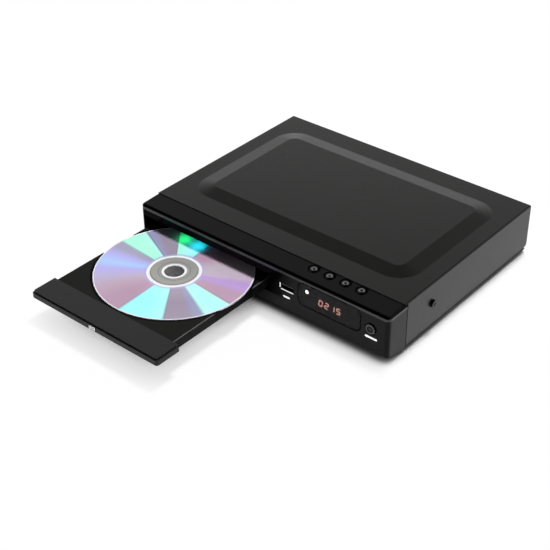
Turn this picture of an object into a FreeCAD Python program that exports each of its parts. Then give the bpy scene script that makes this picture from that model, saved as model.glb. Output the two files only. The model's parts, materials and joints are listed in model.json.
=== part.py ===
import FreeCAD, Part
import math
import operator
import os
import types

import Sketcher

# A disc player with its tray out. Millimetres. X runs along the front from left to right, Y from front to
# back and Z up. Sizes here are counted from a point on the table under the middle of the case. The finished
# solids lie further back, so that the origin is under the middle of the whole player, its tray included.

os.makedirs("parts", exist_ok=True)
doc = FreeCAD.newDocument("DiscPlayer")
sheet = doc.addObject("Spreadsheet::Sheet", "dims")
nodes = []


# Sizes: a number that also knows how it follows from the cells of the sheet

class Size:
    def __init__(self, value, text):
        self.value = value
        self.text = text

    def __add__(self, other):
        return combine("+", self, other)

    def __radd__(self, other):
        return combine("+", other, self)

    def __sub__(self, other):
        return combine("-", self, other)

    def __rsub__(self, other):
        return combine("-", other, self)

    def __mul__(self, other):
        return combine("*", self, other)

    def __rmul__(self, other):
        return combine("*", other, self)

    def __truediv__(self, other):
        return combine("/", self, other)

    def __neg__(self):
        return combine("*", -1, self)


signs = {"+": operator.add, "-": operator.sub, "*": operator.mul, "/": operator.truediv}
pi = Size(math.pi, "pi")


def asSize(number):
    if isinstance(number, Size):
        return number
    return Size(number, "(" + repr(number) + ")")


def combine(sign, first, second):
    first = asSize(first)
    second = asSize(second)
    text = "(" + first.text + " " + sign + " " + second.text + ")"
    return Size(signs[sign](first.value, second.value), text)


def cells(group, **values):
    found = types.SimpleNamespace()
    for name, value in values.items():
        row = len(sheet.getUsedCells()) // 2 + 1
        alias = group + "_" + name
        sheet.set("A%d" % row, alias)
        sheet.set("B%d" % row, repr(value))
        sheet.setAlias("B%d" % row, alias)
        setattr(found, name, Size(value, "dims." + alias))
    doc.recompute()
    return found


def valueOf(number):
    return asSize(number).value


def around(centre, half):
    return (centre - half, centre + half)


def bind(thing, **sizes):
    for name, size in sizes.items():
        thing.setExpression(name.replace("_", "."), asSize(size).text)


def keep(node, thing):
    whole = thing if thing.TypeId == "Part::Compound" else separate(thing)
    thing.Label = node + "_shape"
    whole.Label = node
    bind(whole, Placement_Base_y=frame.case_back)
    nodes.append(whole)


# Plain solids: blocks, rods along an axis, and their sums and differences

turns = {
    "X": FreeCAD.Rotation(FreeCAD.Vector(0, 1, 0), 90),
    "Y": FreeCAD.Rotation(FreeCAD.Vector(1, 0, 0), -90),
    "Z": FreeCAD.Rotation(),
}


def moveTo(thing, x, y, z):
    bind(thing, Placement_Base_x=x, Placement_Base_y=y, Placement_Base_z=z)
    return thing


def block(x, y, z):
    x, y, z = [sorted(pair, key=valueOf) for pair in (x, y, z)]
    box = doc.addObject("Part::Box", "Block")
    bind(box, Length=x[1] - x[0], Width=y[1] - y[0], Height=z[1] - z[0])
    return moveTo(box, x[0], y[0], z[0])


def corner(axis, centre, along):
    first, second = centre
    return {"X": (along, first, second), "Y": (first, along, second), "Z": (first, second, along)}[axis]


def rod(axis, centre, span, radius):
    span = sorted(span, key=valueOf)
    bar = doc.addObject("Part::Cylinder", "Rod")
    bar.Placement = FreeCAD.Placement(FreeCAD.Vector(), turns[axis])
    bind(bar, Radius=radius, Height=span[1] - span[0])
    return moveTo(bar, *corner(axis, centre, span[0]))


def taper(axis, centre, span, radii):
    cone = doc.addObject("Part::Cone", "Taper")
    cone.Placement = FreeCAD.Placement(FreeCAD.Vector(), turns[axis])
    bind(cone, Radius1=radii[0], Radius2=radii[1], Height=span[1] - span[0])
    return moveTo(cone, *corner(axis, centre, span[0]))


def join(*shapes):
    if len(shapes) == 1:
        return shapes[0]
    whole = doc.addObject("Part::MultiFuse", "Whole")
    whole.Shapes = list(shapes)
    whole.Refine = True
    return whole


def cut(base, *tools):
    left = doc.addObject("Part::Cut", "Left")
    left.Base = base
    left.Tool = join(*tools)
    left.Refine = True
    return left


def separate(*shapes):
    group = doc.addObject("Part::Compound", "Group")
    group.Links = list(shapes)
    return group


def tube(axis, centre, span, outer, inner):
    return cut(rod(axis, centre, span, outer), rod(axis, centre, span, inner))


# Sketched solids: outlines on a body's own planes, padded and pocketed

def holdPoint(sketch, place, u, v):
    for kind, size in (("DistanceX", u), ("DistanceY", v)):
        row = sketch.addConstraint(Sketcher.Constraint(kind, -1, 1, place[0], place[1], valueOf(size)))
        sketch.setExpression("Constraints[%d]" % row, asSize(size).text)


def polygon(*points):
    def draw(sketch):
        first = sketch.GeometryCount
        spots = [FreeCAD.Vector(valueOf(u), valueOf(v), 0) for u, v in points]
        count = len(spots)
        for index in range(count):
            sketch.addGeometry(Part.LineSegment(spots[index], spots[(index + 1) % count]), False)
        for index in range(count):
            following = first + (index + 1) % count
            sketch.addConstraint(Sketcher.Constraint("Coincident", first + index, 2, following, 1))
        for index, (u, v) in enumerate(points):
            holdPoint(sketch, (first + index, 1), u, v)
    return draw


def rectangle(across, up):
    return polygon((across[0], up[0]), (across[1], up[0]), (across[1], up[1]), (across[0], up[1]))


def circle(u, v, radius):
    def draw(sketch):
        centre = FreeCAD.Vector(valueOf(u), valueOf(v), 0)
        ring = sketch.addGeometry(Part.Circle(centre, FreeCAD.Vector(0, 0, 1), valueOf(radius)), False)
        holdPoint(sketch, (ring, 3), u, v)
        row = sketch.addConstraint(Sketcher.Constraint("Radius", ring, valueOf(radius)))
        sketch.setExpression("Constraints[%d]" % row, asSize(radius).text)
    return draw


def rounded(across, up, radius):
    # Lines 0 to 3 run anticlockwise from the lower one, and arcs 4 to 7 follow them at their ends
    def draw(sketch):
        first = sketch.GeometryCount
        left, right = [valueOf(size) for size in across]
        low, high = [valueOf(size) for size in up]
        bend = valueOf(radius)
        lines = [((left + bend, low), (right - bend, low)), ((right, low + bend), (right, high - bend)),
                 ((right - bend, high), (left + bend, high)), ((left, high - bend), (left, low + bend))]
        for start, end in lines:
            sketch.addGeometry(Part.LineSegment(FreeCAD.Vector(*start, 0), FreeCAD.Vector(*end, 0)), False)
        centres = [(right - bend, low + bend), (right - bend, high - bend), (left + bend, high - bend),
                   (left + bend, low + bend)]
        for index, centre in enumerate(centres):
            ring = Part.Circle(FreeCAD.Vector(*centre, 0), FreeCAD.Vector(0, 0, 1), bend)
            start = (index - 1) * math.pi / 2
            sketch.addGeometry(Part.ArcOfCircle(ring, start, start + math.pi / 2), False)
        for index in range(4):
            arc = first + 4 + index
            sketch.addConstraint(Sketcher.Constraint("Tangent", first + index, 2, arc, 1))
            sketch.addConstraint(Sketcher.Constraint("Tangent", arc, 2, first + (index + 1) % 4, 1))
            kind = "Vertical" if index % 2 else "Horizontal"
            sketch.addConstraint(Sketcher.Constraint(kind, first + index))
            if index:
                sketch.addConstraint(Sketcher.Constraint("Equal", first + 4, arc))
        row = sketch.addConstraint(Sketcher.Constraint("Radius", first + 4, bend))
        sketch.setExpression("Constraints[%d]" % row, asSize(radius).text)
        sides = ((3, "DistanceX", across[0]), (1, "DistanceX", across[1]),
                 (0, "DistanceY", up[0]), (2, "DistanceY", up[1]))
        for line, kind, size in sides:
            row = sketch.addConstraint(Sketcher.Constraint(kind, -1, 1, first + line, 1, valueOf(size)))
            sketch.setExpression("Constraints[%d]" % row, asSize(size).text)
    return draw


class Moulding:
    def __init__(self, name):
        self.body = doc.addObject("PartDesign::Body", name)
        self.origins = {feature.Role: feature for feature in self.body.Origin.OriginFeatures}

    def sketch(self, plane, level, outlines):
        drawing = self.body.newObject("Sketcher::SketchObject", "Sketch")
        drawing.AttachmentSupport = [(self.origins[plane + "_Plane"], "")]
        drawing.MapMode = "FlatFace"
        # The XZ plane looks towards the front, so its levels count backwards
        bind(drawing, AttachmentOffset_Base_z=-1 * level if plane == "XZ" else level)
        for draw in outlines:
            draw(drawing)
        return drawing

    def feature(self, kind, plane, level, length, outlines):
        made = self.body.newObject("PartDesign::" + kind, kind)
        made.Profile = self.sketch(plane, level, outlines)
        bind(made, Length=length)
        self.body.Tip = made
        return made

    def pad(self, plane, span, *outlines):
        level = span[1] if plane == "XZ" else span[0]
        return self.feature("Pad", plane, level, span[1] - span[0], outlines)

    def pocket(self, plane, span, *outlines):
        level = span[0] if plane == "XZ" else span[1]
        return self.feature("Pocket", plane, level, span[1] - span[0], outlines)

    def loft(self, kind, plane, levels, outlines):
        made = self.body.newObject("PartDesign::" + kind, kind)
        sections = [self.sketch(plane, level, [draw]) for level, draw in zip(levels, outlines)]
        made.Profile = sections[0]
        made.Sections = sections[1:]
        made.Ruled = True
        self.body.Tip = made

    def soften(self, radius, axis, **places):
        doc.recompute()
        tip = self.body.Tip
        chosen = []
        for number, edge in enumerate(tip.Shape.Edges, 1):
            if lies(edge, axis, places):
                chosen.append("Edge%d" % number)
        rounding = self.body.newObject("PartDesign::Fillet", "Fillet")
        rounding.Base = (tip, chosen)
        bind(rounding, Radius=radius)
        self.body.Tip = rounding

    def repeat(self, kind, original, axis, count, **extent):
        pattern = self.body.newObject("PartDesign::" + kind, kind)
        pattern.Originals = [original]
        bind(pattern, Occurrences=count)
        if kind == "PolarPattern":
            pattern.Axis = (self.origins[axis + "_Axis"], [""])
        else:
            pattern.Direction = (self.origins[axis + "_Axis"], [""])
            bind(pattern, **extent)
        self.body.Tip = pattern


def lies(edge, axis, places):
    near = 0.02
    if not isinstance(edge.Curve, Part.Line):
        return False
    if abs(getattr(edge.Curve.Direction, axis)) < 0.99:
        return False
    for name, spots in places.items():
        middle = getattr(edge.CenterOfMass, name)
        if all(abs(middle - valueOf(spot)) > near for spot in spots):
            return False
    return True


# Screws: a shank and a domed head with a cross in it, which points along +1 or -1 on its axis

frame = cells("frame", case_back=55.0)
fit = cells("fit", close=0.05, loose=0.1)
screw = cells("screw", shank=1.5, head=3.0, height=1.8, cross=0.7, depth=0.9, arm=1.9)


def screwAt(axis, centre, seat, length, way):
    top = seat + way * screw.height
    shank = rod(axis, centre, (seat - way * length, seat), screw.shank)
    head = rod(axis, centre, (seat, top), screw.head)
    sink = (top - way * screw.depth, top)
    first, second = centre
    slots = []
    for wide, high in ((screw.arm, screw.cross / 2), (screw.cross / 2, screw.arm)):
        sides = {"X": (sink, around(first, wide), around(second, high)),
                 "Y": (around(first, wide), sink, around(second, high)),
                 "Z": (around(first, wide), around(second, high), sink)}[axis]
        slots.append(block(*sides))
    return cut(join(shank, head), *slots)


# Case: a folded top cover, a floor pan, a plastic front and a panel at the back

case = cells("case", width=237.0, depth=187.0, top=41.9, sheet=0.8, underside=2.0, gap=0.3, side_gap=0.8)
left = -case.width / 2
right = case.width / 2
front = -case.depth / 2
back = case.depth / 2
floorTop = case.underside + case.sheet

cover = cells("cover", seam=19.4, side_seam=22.5, hem=5.0, fold=1.2, tail=3.0, flange=8.0)
plateau = cells("plateau", inset=14.2, front_inset=38.7, back_inset=19.3, rise=2.0, run=13.3, corner=20.0)
sideScrew = cells("side_screw", setback=54.0, height=23.7)
rearScrew = cells("rear_screw", spread=100.0, height=37.4, length=3.0)
topSeam = front + cover.seam
sideSeam = front + cover.side_seam
screwHole = screw.shank + fit.loose
rearScrewSpots = (-rearScrew.spread, 0, rearScrew.spread)


def plateauOutline(run, radius):
    across = (left + plateau.inset + run, right - plateau.inset - run)
    along = (front + plateau.front_inset + run, back - plateau.back_inset - run)
    return rounded(across, along, radius)


def makeCover():
    inner = right - case.sheet
    under = case.top - case.sheet
    shell = Moulding("top_cover")
    shell.pad("XZ", (sideSeam, back), polygon(
        (left, cover.hem), (-inner, cover.hem), (-inner, under), (inner, under), (inner, cover.hem),
        (right, cover.hem), (right, case.top), (left, case.top)))
    shell.pad("XY", (under, case.top), rectangle((left, right), (topSeam, sideSeam + case.sheet)))
    shell.soften(cover.fold, "y", x=(left, right), z=(case.top,))
    shell.soften(cover.tail, "x", y=(back,), z=(cover.hem,))
    flangeTop = under + case.sheet / 2
    shell.pad("XZ", (back - case.sheet, back), rectangle((-inner, inner), (under - cover.flange, flangeTop)))
    levels = (case.top - case.sheet / 2, case.top + plateau.rise)
    steep = plateau.run * case.sheet / plateau.rise / 2
    outlines = (plateauOutline(-steep, plateau.corner + steep),
                plateauOutline(plateau.run, plateau.corner - plateau.run))
    shell.loft("AdditiveLoft", "XY", levels, outlines)
    sunk = [level - case.sheet for level in levels]
    shell.loft("SubtractiveLoft", "XY", sunk, outlines)
    shell.pocket("YZ", (left - case.sheet, right + case.sheet),
                 circle(front + sideScrew.setback, sideScrew.height, screwHole))
    shell.pocket("XZ", (back - 2 * case.sheet, back + case.sheet),
                 *[circle(x, rearScrew.height, screwHole) for x in rearScrewSpots])
    keep("top_cover", shell.body)


pan = cells("pan", inset=0.5, lip=1.5, wall_inset=1.3, wall_height=30.0, boss=3.2, tab=6.0)
feet = cells("feet", radius=8.0, x=100.0, front=-59.0, back=77.0, recess=0.8, recess_radius=4.0)
panel = cells("panel", gap=0.3, sheet=1.0, side_gap=0.4)
panelFront = back - case.sheet - panel.gap - panel.sheet
panelBack = back - case.sheet - panel.gap
panFront = sideSeam
wallOuter = right - pan.wall_inset


def bossesAt(spots, top):
    made = []
    for x, y in spots:
        made.append(tube("Z", (x, y), (case.underside + case.sheet / 2, top), pan.boss, screwHole))
    return made


def makePan():
    edge = right - pan.inset
    lower = (case.underside, floorTop)
    pieces = [block((-edge, edge), (panFront, panelBack), lower)]
    for side in (-1, 1):
        lip = (side * (wallOuter - case.sheet), side * edge)
        wall = (side * (wallOuter - case.sheet), side * wallOuter)
        length = (panFront + case.sheet, panelFront - panel.gap)
        pieces.append(block(lip, length, (case.underside, case.underside + pan.lip)))
        pieces.append(block(wall, length, (case.underside, pan.wall_height)))
    boards = bossSpots(board) + bossSpots(psu)
    bosses = bossesAt(boards, board.bottom) + bossesAt(loaderFeet(), loader.foot_low)
    shafts = [rod("Z", spot, lower, screwHole) for spot in boards + loaderFeet()]
    side = (front + sideScrew.setback, sideScrew.height)
    shafts.append(rod("X", side, (left, right), screwHole))
    keep("bottom_chassis", cut(join(*pieces, *bosses), *shafts))


def makeFeet():
    made = []
    for x in (-feet.x, feet.x):
        for y in (feet.front, feet.back):
            pad = rod("Z", (x, y), (0, case.underside), feet.radius)
            hollow = rod("Z", (x, y), (0, feet.recess), feet.recess_radius)
            made.append(cut(pad, hollow))
    keep("feet", separate(*made))


def makeScrews():
    at = (front + sideScrew.setback, sideScrew.height)
    sides = [screwAt("X", at, way * right, 2 * screw.height, way) for way in (-1, 1)]
    keep("side_screws", separate(*sides))
    rear = [screwAt("Y", (x, rearScrew.height), back, rearScrew.length, 1) for x in rearScrewSpots]
    keep("rear_screws", separate(*rear))
    inner = [screwAt("Z", spot, board.bottom + board.thick, board.screw, 1) for spot in bossSpots(board)]
    inner += [screwAt("Z", spot, board.bottom + board.thick, board.screw, 1) for spot in bossSpots(psu)]
    inner += [screwAt("Z", spot, loader.foot_high, board.screw, 1) for spot in loaderFeet()]
    inner += [screwAt("Z", spot, bridge.top, bridge.screw, 1) for spot in bridgeEnds()]
    keep("inner_screws", separate(*inner))


# Front: a hollow plastic moulding with the tray's slot, a window, a socket and five buttons

bezel = cells("bezel", wall=2.2, front_top=40.6, seam_top=41.3, rim_gap=0.2, face_low=6.0, chin=4.5,
              rear_low=2.0, corner=3.5, edge=2.0, chin_edge=1.0, post=1.8, tab_width=14.0, tab_thick=1.5,
              tab_reach=4.4, tab_left=-85.0, tab_middle=-25.0, tab_right=83.0)
slot = cells("slot", left_wall=3.6, right=13.3, low=16.2, high=31.5, corner=0.8)
window = cells("window", low_x=39.5, high_x=94.6, low=18.2, high=36.7, corner=5.0, thick=2.0,
               groove=0.5)
usb = cells("usb", x=28.9, z=26.25, half_width=6.6, half_height=2.9, sheet=0.35, length=14.0, proud=0.2,
            tongue_half=5.5, tongue_low=0.3, tongue_high=1.9, tongue_back=1.4)
power = cells("power", x=103.7, z=25.4, radius=4.1, clear=0.35, flange=1.3, proud=0.8, travel=0.8)
keys = cells("keys", first=42.3, pitch=14.07, y=-79.1, radius=4.1, clear=0.4, proud=0.7, stem=1.6,
             flange=0.8, drop=3.2, reach=2.2, count=4)
rim = cells("rim", width=0.8, depth=0.5)
wallBack = front + bezel.wall
slotX = (left + slot.left_wall, slot.right)
slotZ = (slot.low, slot.high)
bezelRear = sideSeam - case.side_gap
keySpots = [keys.first + keys.pitch * number for number in range(int(keys.count.value))]


def slopeTop(y):
    return bezel.front_top + (bezel.seam_top - bezel.front_top) * (y - front) / cover.seam


def makeBezel():
    wall = bezel.wall
    seam = topSeam - case.gap
    rimTop = case.top - case.sheet - bezel.rim_gap
    inside = (left + wall, right - wall)
    shell = Moulding("front_bezel")
    shell.pad("YZ", (left, right), polygon(
        (front, bezel.face_low + bezel.chin_edge), (front + bezel.chin_edge, bezel.face_low),
        (front + bezel.chin, bezel.face_low), (bezelRear, bezel.rear_low), (bezelRear, rimTop),
        (seam, rimTop), (seam, bezel.seam_top), (front, bezel.front_top)))
    shell.soften(bezel.corner, "z", x=(left, right), y=(front,))
    shell.soften(bezel.edge, "x", y=(front,), z=(bezel.front_top,))
    shell.pocket("YZ", inside, polygon(
        (wallBack, bezel.face_low + wall), (front + bezel.chin, bezel.face_low + wall),
        (bezelRear + wall, bezel.rear_low + wall / 2), (bezelRear + wall, rimTop - wall),
        (wallBack, bezel.front_top - wall)))
    shell.pocket("XZ", (front - wall, wallBack + wall), rounded(slotX, slotZ, slot.corner))
    shell.pocket("XZ", (front - wall, wallBack + wall / 2),
                 rounded((window.low_x, window.high_x), (window.low, window.high), window.corner),
                 rectangle(around(usb.x, usb.half_width + fit.close),
                           around(usb.z, usb.half_height + fit.close)),
                 circle(power.x, power.z, power.radius + power.clear))
    shell.pocket("XZ", (front - wall, front + rim.depth),
                 circle(power.x, power.z, power.radius + power.clear + rim.width),
                 rounded((window.low_x - window.groove, window.high_x + window.groove),
                         (window.low - window.groove, window.high + window.groove),
                         window.corner + window.groove))
    keyHole = keys.radius + keys.clear
    top = slopeTop(keys.y)
    shell.pocket("XY", (top - 2 * wall, top + wall), *[circle(x, keys.y, keyHole) for x in keySpots])
    shell.pocket("XY", (top - rim.depth, top + wall),
                 *[circle(x, keys.y, keyHole + rim.width) for x in keySpots])
    shell.pad("XZ", (wallBack - wall / 2, frontBoard.face),
              *[circle(x, z, bezel.post) for x, z in frontBoardSpots()])
    shell.pad("XY", (keyBoard.top, top - wall / 2),
              *[circle(x, keys.y, bezel.post) for x in keyBoardSpots()])
    tabs = [rectangle(around(x, bezel.tab_width / 2), (bezelRear - bezel.tab_reach, bezelRear + pan.tab))
            for x in (bezel.tab_left, bezel.tab_middle, bezel.tab_right)]
    shell.pad("XY", (floorTop, floorTop + bezel.tab_thick), *tabs)
    keep("front_bezel", shell.body)


def makeWindow():
    pane = Moulding("display_window")
    slack = fit.close
    pane.pad("XZ", (front, front + window.thick),
             rounded((window.low_x + slack, window.high_x - slack),
                     (window.low + slack, window.high - slack), window.corner - slack),
             circle(led.status_x, led.status_z, led.status_radius + slack))
    keep("display_window", pane.body)


def makeButtons():
    for number, x in enumerate(keySpots, 1):
        top = slopeTop(keys.y) + keys.proud
        key = Moulding("top_button")
        low = slopeTop(keys.y) - keys.drop
        key.pad("XY", (low, top), circle(x, keys.y, keys.radius))
        key.pad("XY", (low - keys.flange, low), circle(x, keys.y, keys.radius + power.flange))
        key.pad("XY", (low - keys.flange - keys.reach, low), circle(x, keys.y, keys.stem))
        keep("top_button_%d" % number, key.body)
    knob = Moulding("power_button")
    behind = wallBack + fit.loose
    knob.pad("XZ", (front - power.proud, behind), circle(power.x, power.z, power.radius))
    knob.pad("XZ", (behind, behind + keys.flange), circle(power.x, power.z, power.radius + power.flange))
    knob.pad("XZ", (behind, frontBoard.face - frontBoard.switch - power.travel - fit.close),
             circle(power.x, power.z, keys.stem))
    keep("power_button", knob.body)


def makeUsb():
    y = (front - usb.proud, front - usb.proud + usb.length)
    outer = block(around(usb.x, usb.half_width), y, around(usb.z, usb.half_height))
    inner = block(around(usb.x, usb.half_width - usb.sheet), (y[0], y[1] - usb.sheet),
                  around(usb.z, usb.half_height - usb.sheet))
    keep("usb_socket", cut(outer, inner))
    tongue = block(around(usb.x, usb.tongue_half), (y[0] + usb.tongue_back, y[1] - usb.sheet),
                   (usb.z + usb.tongue_low, usb.z + usb.tongue_high))
    keep("usb_tongue", tongue)


# Boards: one behind the front, a strip under the keys, the main board and the supply

frontBoard = cells("front_board", low_x=16.8, high_x=114.6, low=9.0, high=36.0, face=-85.6, thick=1.6,
                   inset=2.6, switch=2.6, notch=0.6)
keyBoard = cells("key_board", low_x=30.5, high_x=96.0, front=-82.3, back=-74.8, top=31.2, thick=1.6,
                 inset=3.2)
switch = cells("switch", half=3.0, height=2.5, low=2.2, plunger=1.4)
led = cells("led", low_x=53.0, high_x=81.0, low=18.6, high=31.4, gap=0.3, status_x=47.4, status_z=31.2,
            status_radius=1.5, eye_x=89.0, eye_z=25.0, eye_half=2.6, eye_radius=1.8)


def frontBoardSpots():
    xs = (frontBoard.low_x + frontBoard.inset, frontBoard.high_x - frontBoard.inset)
    zs = (frontBoard.low + frontBoard.inset, frontBoard.high - frontBoard.inset)
    return [(x, z) for x in xs for z in zs]


def keyBoardSpots():
    return (keyBoard.low_x + keyBoard.inset, keyBoard.high_x - keyBoard.inset)


def makeFrontBoards():
    y = (frontBoard.face, frontBoard.face + frontBoard.thick)
    plate = block((frontBoard.low_x, frontBoard.high_x), y, (frontBoard.low, frontBoard.high))
    notch = block(around(usb.x, usb.half_width + frontBoard.notch), y,
                  around(usb.z, usb.half_height + frontBoard.notch))
    keep("front_pcb", cut(plate, notch))
    keep("key_pcb", block((keyBoard.low_x, keyBoard.high_x), (keyBoard.front, keyBoard.back),
                          (keyBoard.top - keyBoard.thick, keyBoard.top)))
    made = []
    plungerTop = slopeTop(keys.y) - keys.drop - keys.flange - keys.reach - power.travel - fit.close
    for x in keySpots:
        base = block(around(x, switch.half), around(keys.y, switch.half),
                     (keyBoard.top, keyBoard.top + switch.height))
        made.append(join(base, rod("Z", (x, keys.y), (keyBoard.top, plungerTop), switch.plunger)))
    base = block(around(power.x, switch.half), (frontBoard.face - switch.low, frontBoard.face),
                 around(power.z, switch.half))
    plunger = rod("Y", (power.x, power.z), (frontBoard.face - frontBoard.switch, frontBoard.face),
                  switch.plunger)
    made.append(join(base, plunger))
    keep("tact_switches", separate(*made))


def makeLights():
    y = (front + window.thick + led.gap, frontBoard.face)
    keep("led_display", block((led.low_x, led.high_x), y, (led.low, led.high)))
    keep("status_led", rod("Y", (led.status_x, led.status_z), (front, y[1]), led.status_radius))
    bulk = block(around(led.eye_x, led.eye_half), (y[0] + led.eye_radius, y[1]),
                 around(led.eye_z, led.eye_half))
    lens = rod("Y", (led.eye_x, led.eye_z), y, led.eye_radius)
    keep("ir_receiver", join(bulk, lens))


board = cells("board", low_x=16.5, high_x=70.5, front=-62.0, back=90.9, bottom=8.0, thick=1.6, inset=3.6,
              screw=4.0, last_row=60.0)
psu = cells("psu", low_x=74.0, high_x=113.5, front=-30.0, back=90.9, inset=3.6, last_row=60.0)
ribbon = cells("ribbon", low_x=44.0, high_x=60.0, height=16.0, thick=0.6, header=4.0, run_back=-54.0,
               header_top=14.0, lip=1.0)
chips = cells("chips", decoder=10.0, decoder_y=-8.0, decoder_height=1.8, memory_x=33.0, memory_y=26.0,
              memory_long=11.0, memory_wide=5.2, memory_height=1.2, flash_x=58.0, flash_half=4.0,
              coil_y=56.0, coil_radius=4.5, coil_height=6.0)
supply = cells("supply", core_x=94.0, core_y=12.0, core_half=12.0, core_height=19.0, wound=8.0, wound_out=4.0,
               big_radius=8.0, big_x=101.0, big_y=46.0, big_height=24.0, small_radius=4.0, small_x=86.0,
               small_first=36.0, small_pitch=11.0, small_height=13.0)


def bossSpots(group):
    xs = (group.low_x + group.inset, group.high_x - group.inset)
    return [(x, y) for x in xs for y in (group.front + group.inset, group.last_row)]


def makeBoards():
    z = (board.bottom, board.bottom + board.thick)
    for node, group in (("main_pcb", board), ("psu_pcb", psu)):
        plate = block((group.low_x, group.high_x), (group.front, group.back), z)
        holes = [rod("Z", spot, z, screwHole) for spot in bossSpots(group)]
        keep(node, cut(plate, *holes))


def makeChips():
    top = board.bottom + board.thick
    middle = (board.low_x + board.high_x) / 2
    made = [block(around(middle, chips.decoder), around(chips.decoder_y, chips.decoder),
                  (top, top + chips.decoder_height))]
    memory = (top, top + chips.memory_height)
    for x, half in ((chips.memory_x, chips.memory_long), (chips.flash_x, chips.flash_half)):
        made.append(block(around(x, half), around(chips.memory_y, chips.memory_wide), memory))
    made.append(rod("Z", (chips.memory_x, chips.coil_y), (top, top + chips.coil_height), chips.coil_radius))
    keep("main_chips", separate(*made))


def makeRibbon():
    x = (ribbon.low_x, ribbon.high_x)
    start = frontBoard.face + frontBoard.thick
    top = board.bottom + board.thick
    level = (ribbon.height - ribbon.thick / 2, ribbon.height + ribbon.thick / 2)
    wide = (ribbon.low_x - ribbon.lip, ribbon.high_x + ribbon.lip)
    plugs = [block(wide, (start, start + ribbon.header), around(ribbon.height, ribbon.header / 2)),
             block(wide, around(ribbon.run_back, ribbon.header / 2), (top, ribbon.header_top))]
    flat = block(x, (start + ribbon.header / 2, ribbon.run_back), level)
    drop = block(x, (ribbon.run_back - ribbon.thick, ribbon.run_back),
                 (ribbon.header_top - ribbon.lip, level[1]))
    keep("front_ribbon", join(*plugs, flat, drop))


def makeSupply():
    top = board.bottom + board.thick
    core = block(around(supply.core_x, supply.core_half), around(supply.core_y, supply.core_half),
                 (top, top + supply.core_height))
    winding = rod("Y", (supply.core_x, top + supply.core_height / 2),
                  around(supply.core_y, supply.core_half + supply.wound_out), supply.wound)
    keep("transformer", join(core, winding))
    cans = [rod("Z", (supply.big_x, supply.big_y), (top, top + supply.big_height), supply.big_radius)]
    for number in range(3):
        spot = (supply.small_x, supply.small_first + supply.small_pitch * number)
        cans.append(rod("Z", spot, (top, top + supply.small_height), supply.small_radius))
    keep("psu_capacitors", separate(*cans))


# Sockets at the back: supply inlet, digital picture and three round sockets

inlet = cells("inlet", x=94.0, z=20.0, half_width=12.0, half_height=6.5, length=18.0, proud=1.0, hole=3.7,
              pitch=8.6, depth=11.0, pin=1.2, leg=4.8)
hdmi = cells("hdmi", x=26.0, half_width=7.5, height=6.0, length=12.0, sheet=0.6, tongue=1.2, proud=0.6)
jacks = cells("jacks", first=42.0, pitch=11.0, z=17.0, length=11.0, half=5.4, barrel=4.15, bore=3.0,
              insert=2.9, hole=1.6, proud=8.0, count=3)
jackSpots = [jacks.first + jacks.pitch * number for number in range(int(jacks.count.value))]


def makeInlet():
    y = (panelBack + inlet.proud - inlet.length, panelBack + inlet.proud)
    shell = block(around(inlet.x, inlet.half_width), y, around(inlet.z, inlet.half_height))
    legs = block(around(inlet.x, inlet.half_width / 2), (y[0], y[0] + inlet.leg),
                 (board.bottom + board.thick, inlet.z))
    sink = (y[1] - inlet.depth, y[1])
    spots = [(inlet.x + way * inlet.pitch / 2, inlet.z) for way in (-1, 1)]
    holes = [rod("Y", spot, sink, inlet.hole) for spot in spots]
    holes.append(block(around(inlet.x, inlet.pitch / 2), sink, around(inlet.z, inlet.hole / 2)))
    pins = [rod("Y", spot, (sink[0] - inlet.pin, y[1] - inlet.pin), inlet.pin) for spot in spots]
    keep("power_inlet", join(cut(join(shell, legs), *holes), *pins))


def makeSockets():
    top = board.bottom + board.thick
    y = (panelBack + hdmi.proud - hdmi.length, panelBack + hdmi.proud)
    outer = block(around(hdmi.x, hdmi.half_width), y, (top, top + hdmi.height))
    inner = block(around(hdmi.x, hdmi.half_width - hdmi.sheet), (y[0] + hdmi.sheet, y[1]),
                  (top + hdmi.sheet, top + hdmi.height - hdmi.sheet))
    tongue = block(around(hdmi.x, hdmi.half_width - 2 * hdmi.sheet), (y[0], y[1] - hdmi.tongue),
                   around(top + hdmi.height / 2, hdmi.tongue / 2))
    keep("hdmi_socket", join(cut(outer, inner), tongue))
    low, high = jackSpots[0] - jacks.half, jackSpots[-1] + jacks.half
    faceY = panelFront - fit.loose
    housing = block((low, high), (faceY - jacks.length, faceY), (top, jacks.z + jacks.half))
    bores = [rod("Y", (x, jacks.z), (faceY - jacks.length / 2, faceY), jacks.barrel) for x in jackSpots]
    keep("rca_housing", cut(housing, *bores))
    sleeveY = (faceY - jacks.length / 2, panelBack + jacks.proud)
    sleeves = [tube("Y", (x, jacks.z), sleeveY, jacks.barrel, jacks.bore) for x in jackSpots]
    keep("rca_sleeves", separate(*sleeves))
    for colour, x in zip(("yellow", "white", "red"), jackSpots):
        insertY = (sleeveY[0], sleeveY[1] - jacks.hole)
        keep("rca_" + colour, tube("Y", (x, jacks.z), insertY, jacks.insert, jacks.hole))


def makeRearPanel():
    y = (panelFront, panelBack)
    inner = right - case.sheet - panel.side_gap
    plate = block((-inner, inner), y, (floorTop, case.top - case.sheet - panel.side_gap))
    top = board.bottom + board.thick
    slack = fit.loose
    holes = [rod("Y", (x, rearScrew.height), y, screwHole) for x in rearScrewSpots]
    holes += [rod("Y", (x, jacks.z), y, jacks.barrel + slack) for x in jackSpots]
    holes.append(block(around(inlet.x, inlet.half_width + slack), y,
                       around(inlet.z, inlet.half_height + slack)))
    holes.append(block(around(hdmi.x, hdmi.half_width + slack), y, (top - slack, top + hdmi.height + slack)))
    for number in range(int(vent.count.value)):
        x = vent.first + vent.pitch * number
        holes.append(block((x, x + vent.width), y, (vent.low, vent.high)))
    keep("rear_panel", cut(plate, *holes))


vent = cells("vent", first=-92.0, pitch=6.0, width=2.4, low=12.0, high=27.0, count=10)


# Disc and tray: the tray is out, and slides back by its travel

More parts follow.
